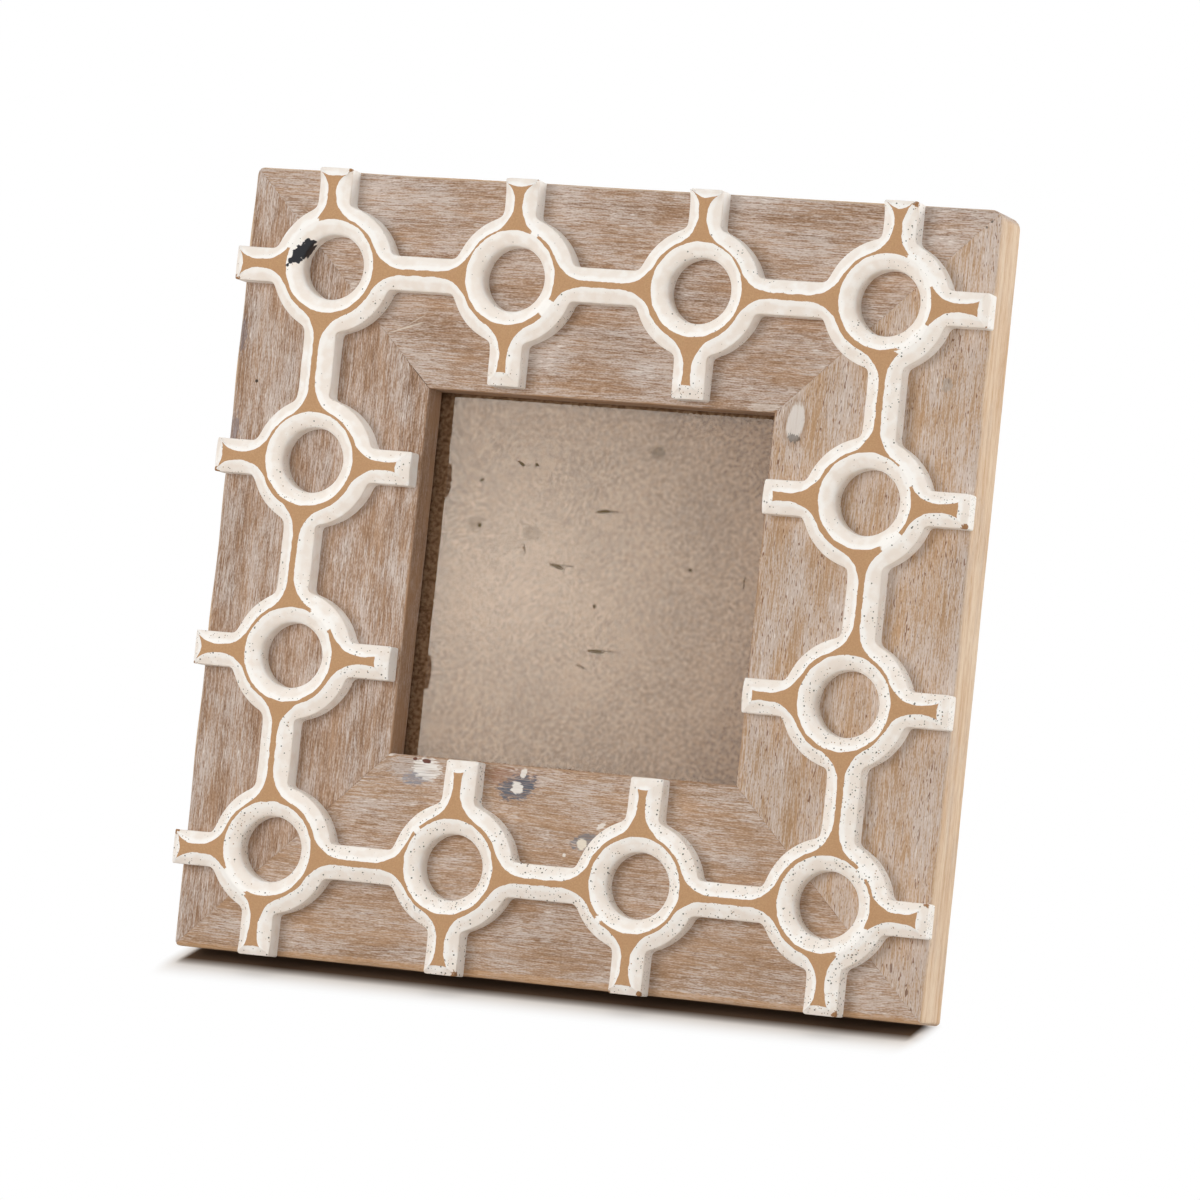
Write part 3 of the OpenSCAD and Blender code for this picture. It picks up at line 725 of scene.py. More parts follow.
    def horn(self, ring, arm, hand):
        """How far, in millimetres, a horn of a bare line's end runs past its hollow middle. The amount
        is drawn for each horn, and is small on the inner stubs."""
        amount = np.random.default_rng((*ring, arm, hand + 1)).uniform(0.3, 1.0)
        return amount * (OUTER_TIPS[arm][1] if self.is_outer(ring, arm) else 0.35)

    def loop(self, ring, arm):
        """The whole closed outline that passes the left edge of an arm."""
        begin = (ring, arm)
        tops, feet = [], []
        while True:
            top, foot = self.corner(ring, arm)
            tops.append(top[1:])
            feet.append(foot[1:])
            arm = (arm + 1) % 4
            beyond = self.neighbour(ring, arm)
            if beyond:
                ring, arm = beyond, (arm + 2) % 4
            else:
                top, foot = self.stub_end(ring, arm)
                tops.append(top)
                feet.append(foot)
            if (ring, arm) == begin:
                return np.concatenate(tops), np.concatenate(feet)

    def hole(self, ring):
        """The hole through a ring, walked clockwise, so that the ring is on the left."""
        s = self.s
        angle = -np.linspace(0, math.tau, 97)[:-1, None]
        spoke = np.concatenate([np.cos(angle), np.sin(angle)], 1)
        # The drift runs towards a corner of the frame, so each axis takes about 0.7 of it
        quarter = np.sign(self.centre[ring] - (0, MID))
        centre = self.centre[ring] + 0.7 * s.hole_out * quarter + (0, s.hole_up)
        return centre + s.bare_hole_r * spoke, centre + s.hole_r * spoke


def lattice_strip(top, foot, board_t, roundness):
    """Carries the edge's profile along a path: flat top, worn lip, bevel, soft crease, upright wall.
    Each row is a share of the way from the bare edge to the foot, with its height over the timber.
    The crease takes up the given share of the bevel's width."""
    apart = foot - top
    plan = np.linalg.norm(apart, axis=1)[:, None]
    apart = apart / plan
    # The router's unevenness: the bare line's, coarse and fine, and the crease's
    wobble = 0.17 * MM * ripple(top[:, 0], top[:, 1], 5 * MM, 3)[:, None]
    wobble += 0.1 * MM * ripple(top[:, 0], top[:, 1], 1.6 * MM, 4)[:, None]
    sag = 0.12 * MM * ripple(top[:, 0], top[:, 1], 9 * MM, 5)[:, None]
    crease = board_t - BEVEL_SLOPE * plan + sag
    fall = (board_t - crease) / plan
    rows = []
    for inward, drop in ((0.25, 0.0), (0.0, 0.03), (-0.22, 0.15)):
        rows.append((wobble - inward * MM, np.full_like(plan, board_t - drop * MM)))
    for step in (0.5 * MM, 0.25 * plan, 0.45 * plan, (0.97 - 1.5 * roundness) * plan):
        rows.append((step + 0.5 * wobble, board_t - fall * step - 0.03 * MM))
    soft = roundness * plan
    rows.append((plan - soft, crease + fall * soft - 0.03 * MM))
    rows.append((plan - 0.5 * soft, crease + 0.08 * soft))
    rows.append((plan - 0.22 * soft, crease - 0.22 * soft))
    rows.append((plan - 0.06 * soft, crease - 0.6 * soft))
    rows.append((plan, crease - 1.2 * soft))
    rows.append((plan, np.full_like(plan, 0.5) * crease))
    rows.append((plan, np.full_like(plan, -0.15 * MM)))
    plans = np.stack([top + apart * along for along, _ in rows])
    heights = np.concatenate([height.T for _, height in rows])
    return plans, heights


def cap_faces(loops, upward):
    """Fills between closed loops of plan points with triangles, all facing up or all down."""
    flat = [[(x, y, 0.0) for x, y in (rows / MM).tolist()] for rows in loops]
    faces = np.array(tessellate_polygon(flat), np.int32)
    points = np.concatenate(loops)
    a, b, c = (points[faces[:, k]] for k in range(3))
    area = (b[:, 0] - a[:, 0]) * (c[:, 1] - a[:, 1]) - (b[:, 1] - a[:, 1]) * (c[:, 0] - a[:, 0])
    wrong = (area > 0) != upward
    faces[wrong] = faces[wrong][:, ::-1]
    return faces


def lattice_mesh(s, material):
    """The whole lattice: a strip round each outline and each hole, closed by a top and a bottom cap."""
    plan = Lattice(s)
    paths = [(*plan.loop((0, 0), arm), 0.09) for arm in (2, 0)]
    paths += [(*plan.hole(ring), 0.3) for ring in plan.rings]
    points, quads, tops, bottoms, top_numbers, bottom_numbers = [], [], [], [], [], []
    count = 0
    for top, foot, roundness in paths:
        plans, heights = lattice_strip(top, foot, s.board_t, roundness)
        rows, cols = heights.shape
        number = count + np.arange(rows * cols).reshape(rows, cols)
        ahead = np.roll(number, -1, axis=1)
        quads.append(np.stack([number[:-1], number[1:], ahead[1:], ahead[:-1]], -1).reshape(-1, 4))
        points.append(np.concatenate([plans, heights[..., None]], -1).reshape(-1, 3))
        tops.append(plans[0])
        bottoms.append(plans[-1])
        top_numbers.append(number[0])
        bottom_numbers.append(number[-1])
        count += rows * cols
    points = np.concatenate(points)
    top_cap = np.concatenate(top_numbers)[cap_faces(tops, True)]
    bottom_cap = np.concatenate(bottom_numbers)[cap_faces(bottoms, False)]
    world = lean_back(points[:, 0], points[:, 1], RAIL_T + points[:, 2])
    faces = [np.concatenate(quads), top_cap, bottom_cap]
    piece = new_piece("routed_lattice", world, faces, material)
    for name, amounts in (("cover", painted_cover(plan, points)), ("wear", tip_wear(plan, points))):
        values = piece.data.attributes.new(name, "FLOAT", "POINT").data
        values.foreach_set("value", amounts.astype(np.float32))
    return piece


def painted_cover(plan, points):
    """1 where paint runs over a ring's bare line, fading to 0 over a few degrees past the arc's ends."""
    cover = np.zeros(len(points))
    for column, row, start, stop in PAINTED_OVER:
        away = points[:, :2] - plan.centre[(column, plan.last - row)]
        angle = np.degrees(np.arctan2(away[:, 1], away[:, 0])) % 360
        off = np.abs((angle - (start + stop) / 2 + 180) % 360 - 180) - (stop - start) / 2
        near = np.hypot(away[:, 0], away[:, 1]) < plan.s.bare_ring_r + 0.6 * MM
        cover = np.maximum(cover, near * np.clip(1 - off / 4, 0, 1))
    return cover


def tip_wear(plan, points):
    """1 at the knocked corners of the outer stubs, fading to 0 over about 3 mm, in drawn amounts."""
    draw = np.random.default_rng(11)
    wear = np.zeros(len(points))
    for ring in plan.rings:
        for arm in range(4):
            _, wall, _, end, _, _ = plan.arm_sizes(ring, arm)
            amounts = draw.uniform(0.2, 1.0, 2)
            if not plan.is_outer(ring, arm):
                continue
            left = ARMS[(arm + 1) % 4]
            beside = plan.line_shift(ring) @ left
            for hand, amount in zip((1, -1), amounts):
                spot_at = plan.centre[ring] + ARMS[arm] * (end - 0.4 * MM) + left * (beside + hand * wall)
                far = np.hypot(*(points[:, :2] - spot_at).T)
                high = points[:, 2] > plan.s.board_t * 0.55
                wear = np.maximum(wear, amount * high * np.clip(1 - far / (3.2 * MM), 0, 1))
    return wear


def cream_paint(name, s):
    """Thick cream emulsion paint brushed on routed fibreboard and sanded off its top. Matt, faintly
    pimpled, with fine grey-green and brown specks in it, and plain brown board where it is sanded."""
    material, tree = new_material(name)
    flat = flat_place(tree)
    right, up, out = add(tree, "SeparateXYZ", {0: flat}).node.outputs
    top = (RAIL_T + s.board_t) / MM

    # The paint is paler in a band along the bare line, plainest towards the crease, and paler again on the
    # walls, where the paler tone is a painted highlight for the light that falls along the face
    mottle = add(tree, "TexNoise", {"Vector": flat, "Scale": 0.22, "Detail": 4.0})
    ends = {FROM_LOW: top - 1.2, FROM_HIGH: top - 0.25, TO_LOW: -0.1, TO_HIGH: 0.32}
    ridge = add(tree, "MapRange", {0: out, **ends})
    # Walls: a paler paint colour, a painted highlight
    ends = {FROM_LOW: top - 3.2, FROM_HIGH: top - 2.7, TO_LOW: 0.2, TO_HIGH: 0}
    wall = add(tree, "MapRange", {0: out, **ends})
    thick_and_highlight = add(tree, "Math", {0: mottle, 1: ridge}, operation="ADD")
    thick_and_highlight = add(tree, "Math", {0: thick_and_highlight, 1: wall}, operation="ADD")
    thick_and_highlight = add(tree, "MapRange", {0: thick_and_highlight, FROM_LOW: 0.3, FROM_HIGH: 0.7}, **SMOOTH)
    layers = [(thick_and_highlight, s.thick_and_highlight)]

    # Specks thicken in drifts, and towards the right and the bottom of the frame. Each kind has its cell
    # size and largest radius in millimetres, its share and its colour
    drift = add(tree, "TexNoise", {"Vector": flat, "Scale": 0.045, "Detail": 2.0})
    for way, slope in ((right, 0.0006), (up, -0.0011)):
        drift = add(tree, "Math", {0: way, 1: slope, 2: drift}, operation="MULTIPLY_ADD")
    for cell, radius, share, hex_code in (
        (0.8, 0.2, 0.8, "#8d887b"),
        (1.15, 0.3, 0.85, "#55544b"),
        (1.0, 0.23, 0.7, "#ac8b6a"),
    ):
        cells = add(tree, "TexVoronoi", {"Vector": flat, "Scale": 1 / cell}).node.outputs
        luck = add(tree, "SeparateColor", {0: cells["Color"]})
        chance = add(tree, "Math", {0: drift, 1: share, 2: -0.04}, operation="MULTIPLY_ADD")
        size = add(tree, "Math", {0: chance, 1: luck}, operation="SUBTRACT")
        size = add(tree, "MapRange", {0: size, FROM_HIGH: 0.2, TO_HIGH: radius / cell})
        gap = add(tree, "Math", {0: size, 1: cells["Distance"]}, operation="SUBTRACT")
        dot = add(tree, "MapRange", {0: gap, FROM_LOW: -0.02, FROM_HIGH: 0.05, TO_HIGH: 0.95})
        layers.append((dot, tone(hex_code)))

    # Bare board shows on the sanded top, with a ragged edge, unless paint ran over it
    ragged = add(tree, "TexNoise", {"Vector": flat, "Scale": 1.3, "Detail": 2.0})
    level = add(tree, "Math", {0: ragged, 1: 0.09, 2: out}, operation="MULTIPLY_ADD")
    bare = add(tree, "MapRange", {0: level, FROM_LOW: top - 0.04, FROM_HIGH: top - 0.015})
    cover = add(tree, "Attribute", out="Fac", attribute_name="cover")
    cover = add(tree, "Math", {0: ragged, 1: 0.5, 2: cover}, operation="MULTIPLY_ADD")
    cover = add(tree, "MapRange", {0: cover, FROM_LOW: 0.95, FROM_HIGH: 0.75})
    bare = add(tree, "Math", {0: bare, 1: cover}, operation="MULTIPLY")
    fibre = add(tree, "TexNoise", {"Vector": flat, "Scale": 1.8, "Detail": 4.0})
    dull = add(tree, "MapRange", {0: mottle, FROM_LOW: 0.45, FROM_HIGH: 0.62, TO_HIGH: 0.35})
    board = tone("#a98059")
    for share, over in ((fibre, tone("#cba57f")), (dull, s.board)):
        board = add(tree, "Mix", {0: share, UNDER: board, OVER: over}, MIXED, data_type="RGBA")
    layers.append((bare, board))

    # Knocked corners show raw board
    wear = add(tree, "Attribute", out="Fac", attribute_name="wear")
    grit = add(tree, "TexNoise", {"Vector": flat, "Scale": 1.0, "Detail": 4.0})
    knocked = add(tree, "Math", {0: grit, 1: wear}, operation="ADD")
    knocked = add(tree, "MapRange", {0: knocked, FROM_LOW: 1.0, FROM_HIGH: 1.06})
    scar = {0: grit, UNDER: tone("#7a4f2c"), OVER: tone("#b98f66")}
    layers.append((knocked, add(tree, "Mix", scar, MIXED, data_type="RGBA")))

    # One flake of black undercoat shows on the bevel of the top left ring
    lump = add(tree, "TexNoise", {"Vector": flat, "Scale": 0.5, "Detail": 3.0})
    centre = (22.6 - MID / MM, 2 * MID / MM - 28.4, top - 1.2)
    flake = spot(tree, flat, lump, centre, (5.6, 1.9, 6.0), math.radians(50), 1.7, 0.05)
    layers.append((flake, tone("#222328")))

    paint = s.paint
    for share, over in layers:
        paint = add(tree, "Mix", {0: share, UNDER: paint, OVER: over}, MIXED, data_type="RGBA")
    pimple = add(tree, "TexNoise", {"Vector": flat, "Scale": 1.4, "Detail": 3.0})
    relief = add(tree, "Math", {0: flake, 1: -1.2, 2: pimple}, operation="MULTIPLY_ADD")
    rough = add(tree, "MapRange", {0: flake, TO_LOW: 0.68, TO_HIGH: 0.3})
    sockets = {"Base Color": paint, "Roughness": rough, "Specular IOR Level": 0.35}
    return finished(material, tree, (relief, 0.35, 0.12), sockets)


class PICTURE_FRAME_OT_fretwork(bpy.types.Operator):
    """Make the routed ring lattice"""

    bl_idname = "picture_frame.fretwork"
    bl_label = "Fretwork"

    def execute(self, context):
        s = context.scene.frame_fretwork
        piece = lattice_mesh(s, cream_paint("Cream emulsion paint on fibreboard", s))
        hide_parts("fretwork")
        return {"FINISHED"}


# Scuffs, specks and smears on the glass: place from the frame's left and top edges, half sizes, turn in
# degrees and strength, in millimetres
GLASS_MARKS = (
    ((100.5, 91.4), (1.2, 0.5), -30, 0.85), ((105.7, 91.3), (0.6, 0.55), 0, 0.85),
    ((87.0, 97.7), (0.7, 0.5), 30, 0.8), ((87.9, 112.5), (0.7, 0.6), 20, 0.9),
    ((86.5, 112.2), (2.6, 2.3), 0, 0.2), ((106.6, 113.7), (3.0, 2.5), 0, 0.16),
    ((147.4, 84.4), (2.3, 2.2), 0, 0.32), ((104.5, 119.0), (0.35, 1.9), 15, 0.5),
    ((130.6, 105.0), (2.6, 0.55), 6, 0.75), ((133.5, 104.8), (3.8, 0.35), 0, 0.4),
    ((116.3, 124.0), (2.6, 0.55), -14, 0.75), ((119.0, 123.6), (3.6, 0.35), 0, 0.4),
    ((133.0, 150.7), (2.7, 0.55), -4, 0.75), ((136.0, 150.3), (3.6, 0.35), 0, 0.4),
    ((128.5, 156.0), (2.0, 0.35), -18, 0.5), ((131.0, 136.0), (0.6, 0.6), 0, 0.7),
    ((181.5, 124.5), (0.3, 1.8), 0, 0.5), ((162.6, 121.7), (0.6, 0.6), 0, 0.7),
)


def window_glass(name, s):
    """Thin float glass. It mirrors a few hundredths of the room at each face and lets the rest by, with
    fine dust that mottles its sheen, and scuffs and smears on the front."""
    # Dust is too fine to show, so its drifts are drawn, about a millimetre across
    material, tree = new_material(name)
    flat = flat_place(tree)
    clear = add(tree, "BsdfTransparent", {"Color": (0.975, 0.985, 0.98, 1)})
    mirror = add(tree, "BsdfGlossy", {"Color": (1, 1, 1, 1), "Roughness": 0.04})
    # Each face mirrors 4 % of what meets it squarely and more at a slant, alike from both sides
    slant = add(tree, "LayerWeight", {"Blend": 0.5}, "Facing")
    slant = add(tree, "Math", {0: slant, 1: 5.0}, operation="POWER")
    share = add(tree, "Math", {0: slant, 1: 0.96, 2: 0.04}, operation="MULTIPLY_ADD")
    dust = add(tree, "TexNoise", {"Vector": flat, "Scale": 0.8, "Detail": 5.0})
    clean = add(tree, "MapRange", {0: dust, FROM_LOW: 0.3, FROM_HIGH: 0.7, TO_LOW: 1.2, TO_HIGH: 0.8})
    share = add(tree, "Math", {0: share, 1: clean}, operation="MULTIPLY")
    glass = add(tree, "MixShader", {0: share, 1: clear, 2: mirror})

    dirt = 0.0
    for place, radii, turn, strength in GLASS_MARKS:
        centre = (place[0] - MID / MM, 2 * MID / MM - place[1], s.glass_front / MM)
        inside = spot(tree, flat, dust, centre, (*radii, 1.0), math.radians(turn), 0.8, 0.35)
        dirt = add(tree, "Math", {0: inside, 1: strength, 2: dirt}, operation="MULTIPLY_ADD")
    dull = add(tree, "BsdfDiffuse", {"Color": tone("#65563f")})
    shader = add(tree, "MixShader", {0: dirt, 1: glass, 2: dull})
    add(tree, "OutputMaterial", {"Surface": shader})
    return material


def brown_card(name, s):
    """Brown kraft card. Even and matt, mottled by its fibres."""
    # Single fibres are too fine to show, so their clumps are drawn, about a millimetre across
    material, tree = new_material(name)
    flat = flat_place(tree)
    fibre = add(tree, "TexNoise", {"Vector": flat, "Scale": 0.8, "Detail": 5.0})
    cloud = add(tree, "TexNoise", {"Vector": flat, "Scale": 0.05, "Detail": 2.0})
    pale = add(tree, "Math", {0: cloud, 1: 0.25, 2: fibre}, operation="MULTIPLY_ADD")
    pale = add(tree, "MapRange", {0: pale, FROM_LOW: 0.49, FROM_HIGH: 0.76})
    paint = add(tree, "Mix", {0: pale, UNDER: s.card, OVER: tone("#97765a")}, MIXED, data_type="RGBA")
    sockets = {"Base Color": paint, "Roughness": 0.85, "Specular IOR Level": 0.2}
    return finished(material, tree, (fibre, 0.15, 0.03), sockets)


class PICTURE_FRAME_OT_glazing(bpy.types.Operator):
    """Finish the glass and the card behind it"""

    bl_idname = "picture_frame.glazing"
    bl_label = "Glass and card"

    def execute(self, context):
        s = context.scene.frame_back
        for node, material in (
            ("glass_pane", window_glass("Float glass", s)),
            ("backing_card", brown_card("Brown kraft card", s)),
        ):
            for place in frame["nodes"][node].material_slots:
                place.material = material
        return {"FINISHED"}


def darker(paint, share):
    """A colour with its light cut to a share."""
    return [c * share for c in paint[:3]] + [1.0]


def fibreboard(name, board):
    """Brown fibreboard with a pressed, slightly shiny face. Fine short fibres, a few darker ones."""
    # The fibres are drawn 1.2 by 0.6 mm, coarser than they are, so that they show
    material, tree = new_material(name)
    flat = flat_place(tree)
    fibre = streaks(tree, flat, 1.2, 0.6, 4.0, 5.0)
    cloud = add(tree, "TexNoise", {"Vector": flat, "Scale": 0.03, "Detail": 3.0})
    pale = add(tree, "Math", {0: cloud, 1: 0.6, 2: fibre}, operation="MULTIPLY_ADD")
    pale = add(tree, "MapRange", {0: pale, FROM_LOW: 0.6, FROM_HIGH: 1.0})
    fleck = streaks(tree, flat, 1.6, 0.3, 9.0, 1.0)
    fleck = add(tree, "MapRange", {0: fleck, FROM_LOW: 0.7, FROM_HIGH: 0.78, TO_HIGH: 0.5})
    paint = darker(board, 0.62)
    for share, over in ((pale, board), (fleck, tone("#4a3320"))):
        paint = add(tree, "Mix", {0: share, UNDER: paint, OVER: over}, MIXED, data_type="RGBA")
    rough = add(tree, "MapRange", {0: cloud, FROM_LOW: 0.3, FROM_HIGH: 0.7, TO_LOW: 0.5, TO_HIGH: 0.68})
    return finished(material, tree, (fibre, 0.25, 0.06), {"Base Color": paint, "Roughness": rough})


def rolled_steel(name, metal, dull):
    """Rolled sheet steel. Fine rolling lines, cloudy spangle, a few duller spots."""
    # The lines are drawn 0.12 mm apart, coarser than they are, so that they show
    material, tree = new_material(name)
    flat = flat_place(tree)
    lines = streaks(tree, flat, 6.0, 0.12, 2.0, 2.0)
    cloud = add(tree, "TexNoise", {"Vector": flat, "Scale": 0.35, "Detail": 4.0})
    shade = darker(metal, 0.72)
    paint = add(tree, "Mix", {0: cloud, UNDER: shade, OVER: metal}, MIXED, data_type="RGBA")
    rough = add(tree, "Math", {0: lines, 1: 0.16, 2: dull}, operation="MULTIPLY_ADD")
    sockets = {"Base Color": paint, "Metallic": 1.0, "Roughness": rough}
    return finished(material, tree, (lines, 0.15, 0.02), sockets)


class PICTURE_FRAME_OT_back(bpy.types.Operator):
    """Finish the back panel, the turn buttons, their screws and the corner nails"""

    bl_idname = "picture_frame.back"
    bl_label = "Back panel and buttons"

    def execute(self, context):
        s = context.scene.frame_back
        board = fibreboard("Pressed fibreboard, panel", s.board)
        zinc = rolled_steel("Zinc plated steel, buttons", s.zinc, 0.3)
        nail = rolled_steel("Plain rolled steel", s.nail, 0.4)
        dressed("back_panel", "panel_board", s.board_edge, board)
        dressed("corner_v_nails", "corner_nails", s.metal_edge / 2, nail)
        dressed("turn_button_screws", "button_screws", s.metal_edge, zinc)
        for height in ("upper", "lower"):
            for side in ("left", "right"):
                node = f"turn_button_{height}_{side}"
                dressed(node, f"button_{height}_{side}", s.metal_edge, zinc, node)
        return {"FINISHED"}


class PICTURE_FRAME_OT_easel(bpy.types.Operator):
    """Finish the easel leg, its hinge and the rivets"""

    bl_idname = "picture_frame.easel"
    bl_label = "Easel leg and hinge"

    def execute(self, context):
        s = context.scene.frame_back
        board = fibreboard("Pressed fibreboard, leg", s.board)
        zinc = rolled_steel("Zinc plated steel, hinge", s.zinc, 0.32)
        dressed("easel_leg", "leg_board", s.board_edge, board, "easel_leg")
        dressed("hinge_leaf_leg", "leg_leaf", s.metal_edge, zinc, "easel_leg")
        dressed("leg_rivets", "leaf_rivets_leg", s.metal_edge, zinc, "easel_leg")
        dressed("hinge_leaf_panel", "panel_leaf", s.metal_edge, zinc)
        dressed("hinge_pin", "leaf_pin", s.metal_edge, zinc)
        dressed("panel_rivets", "leaf_rivets_panel", s.metal_edge, zinc)
        return {"FINISHED"}


# The photograph's camera: place in metres, and turn in degrees
CAMERA_PLACE = (0.72289, -1.85543, 0.56062)
CAMERA_TURN = (77.595, 0.0, 21.233)
# Distances of the lamps in metres, and the linear colour of the one mirrored in the glass
LAMPS_AWAY = 1.9
SHEEN_AWAY = 1.8
SHEEN_COLOUR = (1.0, 0.91, 0.785)
# How far the floor's shadow closes in at each side for each metre behind the frame, and the share of its
# reach over which its side edges fade at the frame
CLOSING_IN = 0.95
SIDE_FADE = 0.285


def aim(thing, target):
    """Turns a lamp or camera to look at a point."""
    away = thing.location - target
    thing.rotation_euler = away.to_track_quat("Z", "Y").to_euler()


def softbox(name, place, size, power, target):
    """A square lamp that faces a point."""
    data = bpy.data.lights.new(name, "AREA")
    data.shape = "SQUARE"
    data.size = size
    data.energy = power
    lamp = bpy.data.objects.new(name, data)
    bpy.context.scene.collection.objects.link(lamp)
    lamp.location = place
    lamp.visible_camera = False
    aim(lamp, target)
    return lamp


def white_floor(name, s):
    """White floor that keeps the shadow under and close round the frame and is plain white beyond. Right
    under the frame its colour is darkened, a painted shadow.
    """
    material, tree = new_material(name)
    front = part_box("bottom_rail")[0].y + 7 * MM
    place = add(tree, "TexCoord", out="Object")
    right, depth, _ = add(tree, "SeparateXYZ", {0: place}).node.outputs
    aside = add(tree, "Math", {0: right, 1: 2 * MM}, operation="ADD")
    aside = add(tree, "Math", {0: aside}, operation="ABSOLUTE")
    # The shadow's outline is set 2 mm to the left, and runs 4 mm inside the sides and 7 mm inside the
    # front. Behind the frame it closes in, and 15 mm behind it its side edges are twice as soft
    behind = add(tree, "Math", {0: depth, 1: BACK_Y}, operation="ADD")
    behind = add(tree, "Math", {0: behind, 1: 0.0}, operation="MAXIMUM")
    sideways = add(tree, "Math", {0: behind, 1: CLOSING_IN, 2: aside}, operation="MULTIPLY_ADD")
    sideways = add(tree, "Math", {0: sideways, 1: MID - 4 * MM}, operation="SUBTRACT")
    widening = SIDE_FADE / (15 * MM)
    soft = add(tree, "Math", {0: behind, 1: widening, 2: SIDE_FADE}, operation="MULTIPLY_ADD")
    sideways = add(tree, "Math", {0: sideways, 1: soft}, operation="DIVIDE")
    before = add(tree, "Math", {0: front, 1: depth}, operation="SUBTRACT")
    # Distances outside it. The wide shadow hardly fades backwards, the painted shadow under the frame does
    away = []
    for backward in (0.15, 1.0):
        off = add(tree, "Math", {0: behind, 1: backward}, operation="MULTIPLY")
        off = add(tree, "CombineXYZ", {0: sideways, 1: before, 2: off})
        off = add(tree, "VectorMath", {0: off, 1: (0, 0, 0)}, operation="MAXIMUM")
        away.append(add(tree, "VectorMath", {0: off}, "Value", operation="LENGTH"))
    far = add(tree, "MapRange", {0: away[0], FROM_HIGH: s.shadow_reach}, **SMOOTH)
    # near is the share of the painted shadow, a dark colour mixed into the floor right under the frame
    near = add(tree, "MapRange", {0: away[1], FROM_HIGH: s.shadow_reach / 3, TO_LOW: 1.0, TO_HIGH: 0.0})
    seen = picture_ray(tree)
    share = add(tree, "Math", {0: seen, 1: far}, operation="MULTIPLY")
    shade = s.floor_bounce
    for lit_share, over in ((seen, s.floor), (near, s.painted_floor_shadow)):
        shade = add(tree, "Mix", {0: lit_share, UNDER: shade, OVER: over}, MIXED, data_type="RGBA")
    lit = add(tree, "BsdfDiffuse", {"Color": shade})
    glow = add(tree, "Emission", {"Color": (1, 1, 1, 1), "Strength": 1.0})
    shader = add(tree, "MixShader", {0: share, 1: lit, 2: glow})
    add(tree, "OutputMaterial", {"Surface": shader})
    return material


def picture_ray(tree):
    """1 for rays of the picture itself and of what shows in metal and glass, 0 for rays that light."""
    ray = add(tree, "LightPath").node.outputs
    sockets = {0: ray["Is Camera Ray"], 1: ray["Is Glossy Ray"]}
    seen = add(tree, "Math", sockets, operation="MAXIMUM")
    return add(tree, "Math", {0: seen, 1: ray["Is Transmission Ray"]}, operation="MAXIMUM")


def white_room(s):
    """World that lights everything evenly and looks plain white in the picture and in reflections."""
    world = bpy.data.worlds.new("White room")
    world.use_nodes = True
    tree = world.node_tree
    tree.nodes.clear()
    strength = add(tree, "MapRange", {0: picture_ray(tree), TO_LOW: s.ambient})
    light = add(tree, "Background", {"Color": (1, 1, 1, 1), "Strength": strength})
    add(tree, "OutputWorld", {"Surface": light})
    bpy.context.scene.world = world


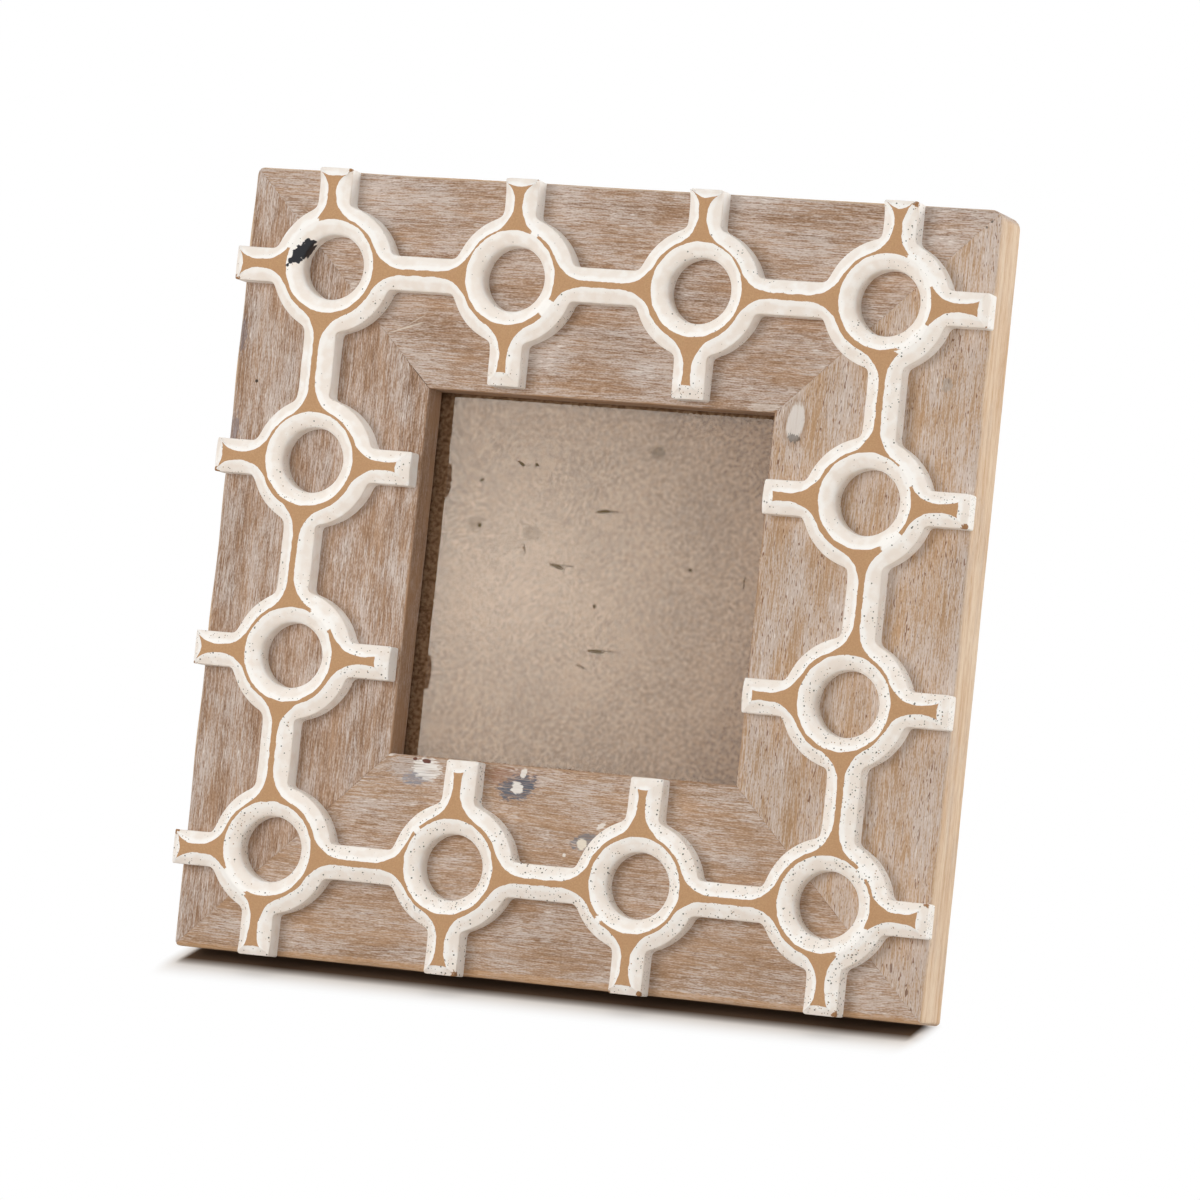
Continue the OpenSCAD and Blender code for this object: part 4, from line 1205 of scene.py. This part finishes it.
class PICTURE_FRAME_OT_stage(bpy.types.Operator):
    """Make the camera, the lamps, the white room and the floor"""

    bl_idname = "picture_frame.stage"
    bl_label = "Stage"

    def execute(self, context):
        s = context.scene.frame_stage
        scene = context.scene
        scene.view_settings.view_transform = "Standard"
        camera = bpy.data.objects.new("Camera", bpy.data.cameras.new("Camera"))
        scene.collection.objects.link(camera)
        camera.data.sensor_width = 36.0
        camera.data.lens = s.lens
        camera.location = CAMERA_PLACE
        camera.rotation_euler = [math.radians(turn) for turn in CAMERA_TURN]
        scene.camera = camera

        middle = (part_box("glass_pane")[0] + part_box("glass_pane")[1]) / 2
        # Tilt from the face's outward direction, and heading in the face anticlockwise from the right
        for name, tilt, heading, size, power in (
            ("Key lamp", 25, 169, 1.0, s.key_power),
            ("Front lamp", 15, 30, 0.7, s.front_power),
            ("Top lamp", 72, 90, 0.9, s.top_power),
            ("Fill lamp", 82, 0, 0.6, s.fill_power),
        ):
            tilt, heading = math.radians(tilt), math.radians(heading)
            along, up = math.sin(tilt) * math.cos(heading), math.sin(tilt) * math.sin(heading)
            way = Vector((along, *leaned(up, math.cos(tilt))))
            lamp = softbox(name, middle + LAMPS_AWAY * way, size, power, middle)
            # The glass shows the sheen lamp in place of these
            lamp.visible_glossy = False
        softbox("Side lamp", middle + Vector((1.4, 1.0, 0.5)), 1.0, s.side_power, middle)
        softbox("Back lamp", middle + Vector((-0.6, 1.7, 0.7)), 0.8, s.back_power, middle)
        # The glass mirrors this one to the camera. Its narrow beam makes the sheen fall off sideways
        target = middle + Vector((-0.03, 0, 0))
        way = (target - camera.location).reflect(Vector((0, -UPRIGHT, BACKWARD)))
        sheen = softbox("Sheen lamp", target + way.normalized() * SHEEN_AWAY, 0.5, s.sheen_power, target)
        sheen.data.spread = s.sheen_beam
        sheen.data.color = SHEEN_COLOUR
        white_room(s)

        size = 6.0
        corners = [(-size, -size, 0), (size, -size, 0), (size, size, 0), (-size, size, 0)]
        mesh = bpy.data.meshes.new("floor")
        mesh.from_pydata(corners, [], [(0, 1, 2, 3)])
        floor = bpy.data.objects.new("floor", mesh)
        scene.collection.objects.link(floor)
        mesh.materials.append(white_floor("White paper floor", s))
        return {"FINISHED"}


class VIEW3D_PT_picture_frame(bpy.types.Panel):
    """Sizes, colours and steps of the picture frame"""

    bl_label = "Picture Frame"
    bl_space_type = "VIEW_3D"
    bl_region_type = "UI"
    bl_category = "Picture Frame"

    def draw(self, context):
        for group, steps in PANEL_ROWS:
            box = self.layout.box()
            settings = getattr(context.scene, group)
            for name in settings.bl_rna.properties.keys():
                if name not in ("rna_type", "name"):
                    box.prop(settings, name)
            for step in steps:
                box.operator(f"picture_frame.{step}")


PANEL_ROWS = (
    ("frame_stage", ("stage",)),
    ("frame_timber", ("timber",)),
    ("frame_fretwork", ("fretwork",)),
    ("frame_back", ("glazing", "back", "easel")),
)
SETTINGS = {
    "frame_stage": StageSettings,
    "frame_timber": TimberSettings,
    "frame_fretwork": FretworkSettings,
    "frame_back": BackSettings,
}
OPERATORS = (
    PICTURE_FRAME_OT_stage,
    PICTURE_FRAME_OT_timber,
    PICTURE_FRAME_OT_fretwork,
    PICTURE_FRAME_OT_glazing,
    PICTURE_FRAME_OT_back,
    PICTURE_FRAME_OT_easel,
)


def register():
    for kind in (*SETTINGS.values(), *OPERATORS, VIEW3D_PT_picture_frame):
        bpy.utils.register_class(kind)
    for name, kind in SETTINGS.items():
        setattr(bpy.types.Scene, name, PointerProperty(type=kind))


def unregister():
    for name in SETTINGS:
        delattr(bpy.types.Scene, name)
    for kind in reversed((*SETTINGS.values(), *OPERATORS, VIEW3D_PT_picture_frame)):
        bpy.utils.unregister_class(kind)


def main():
    register()
    for _, steps in PANEL_ROWS:
        for step in steps:
            getattr(bpy.ops.picture_frame, step)()


if __name__ == "__main__":
    main()
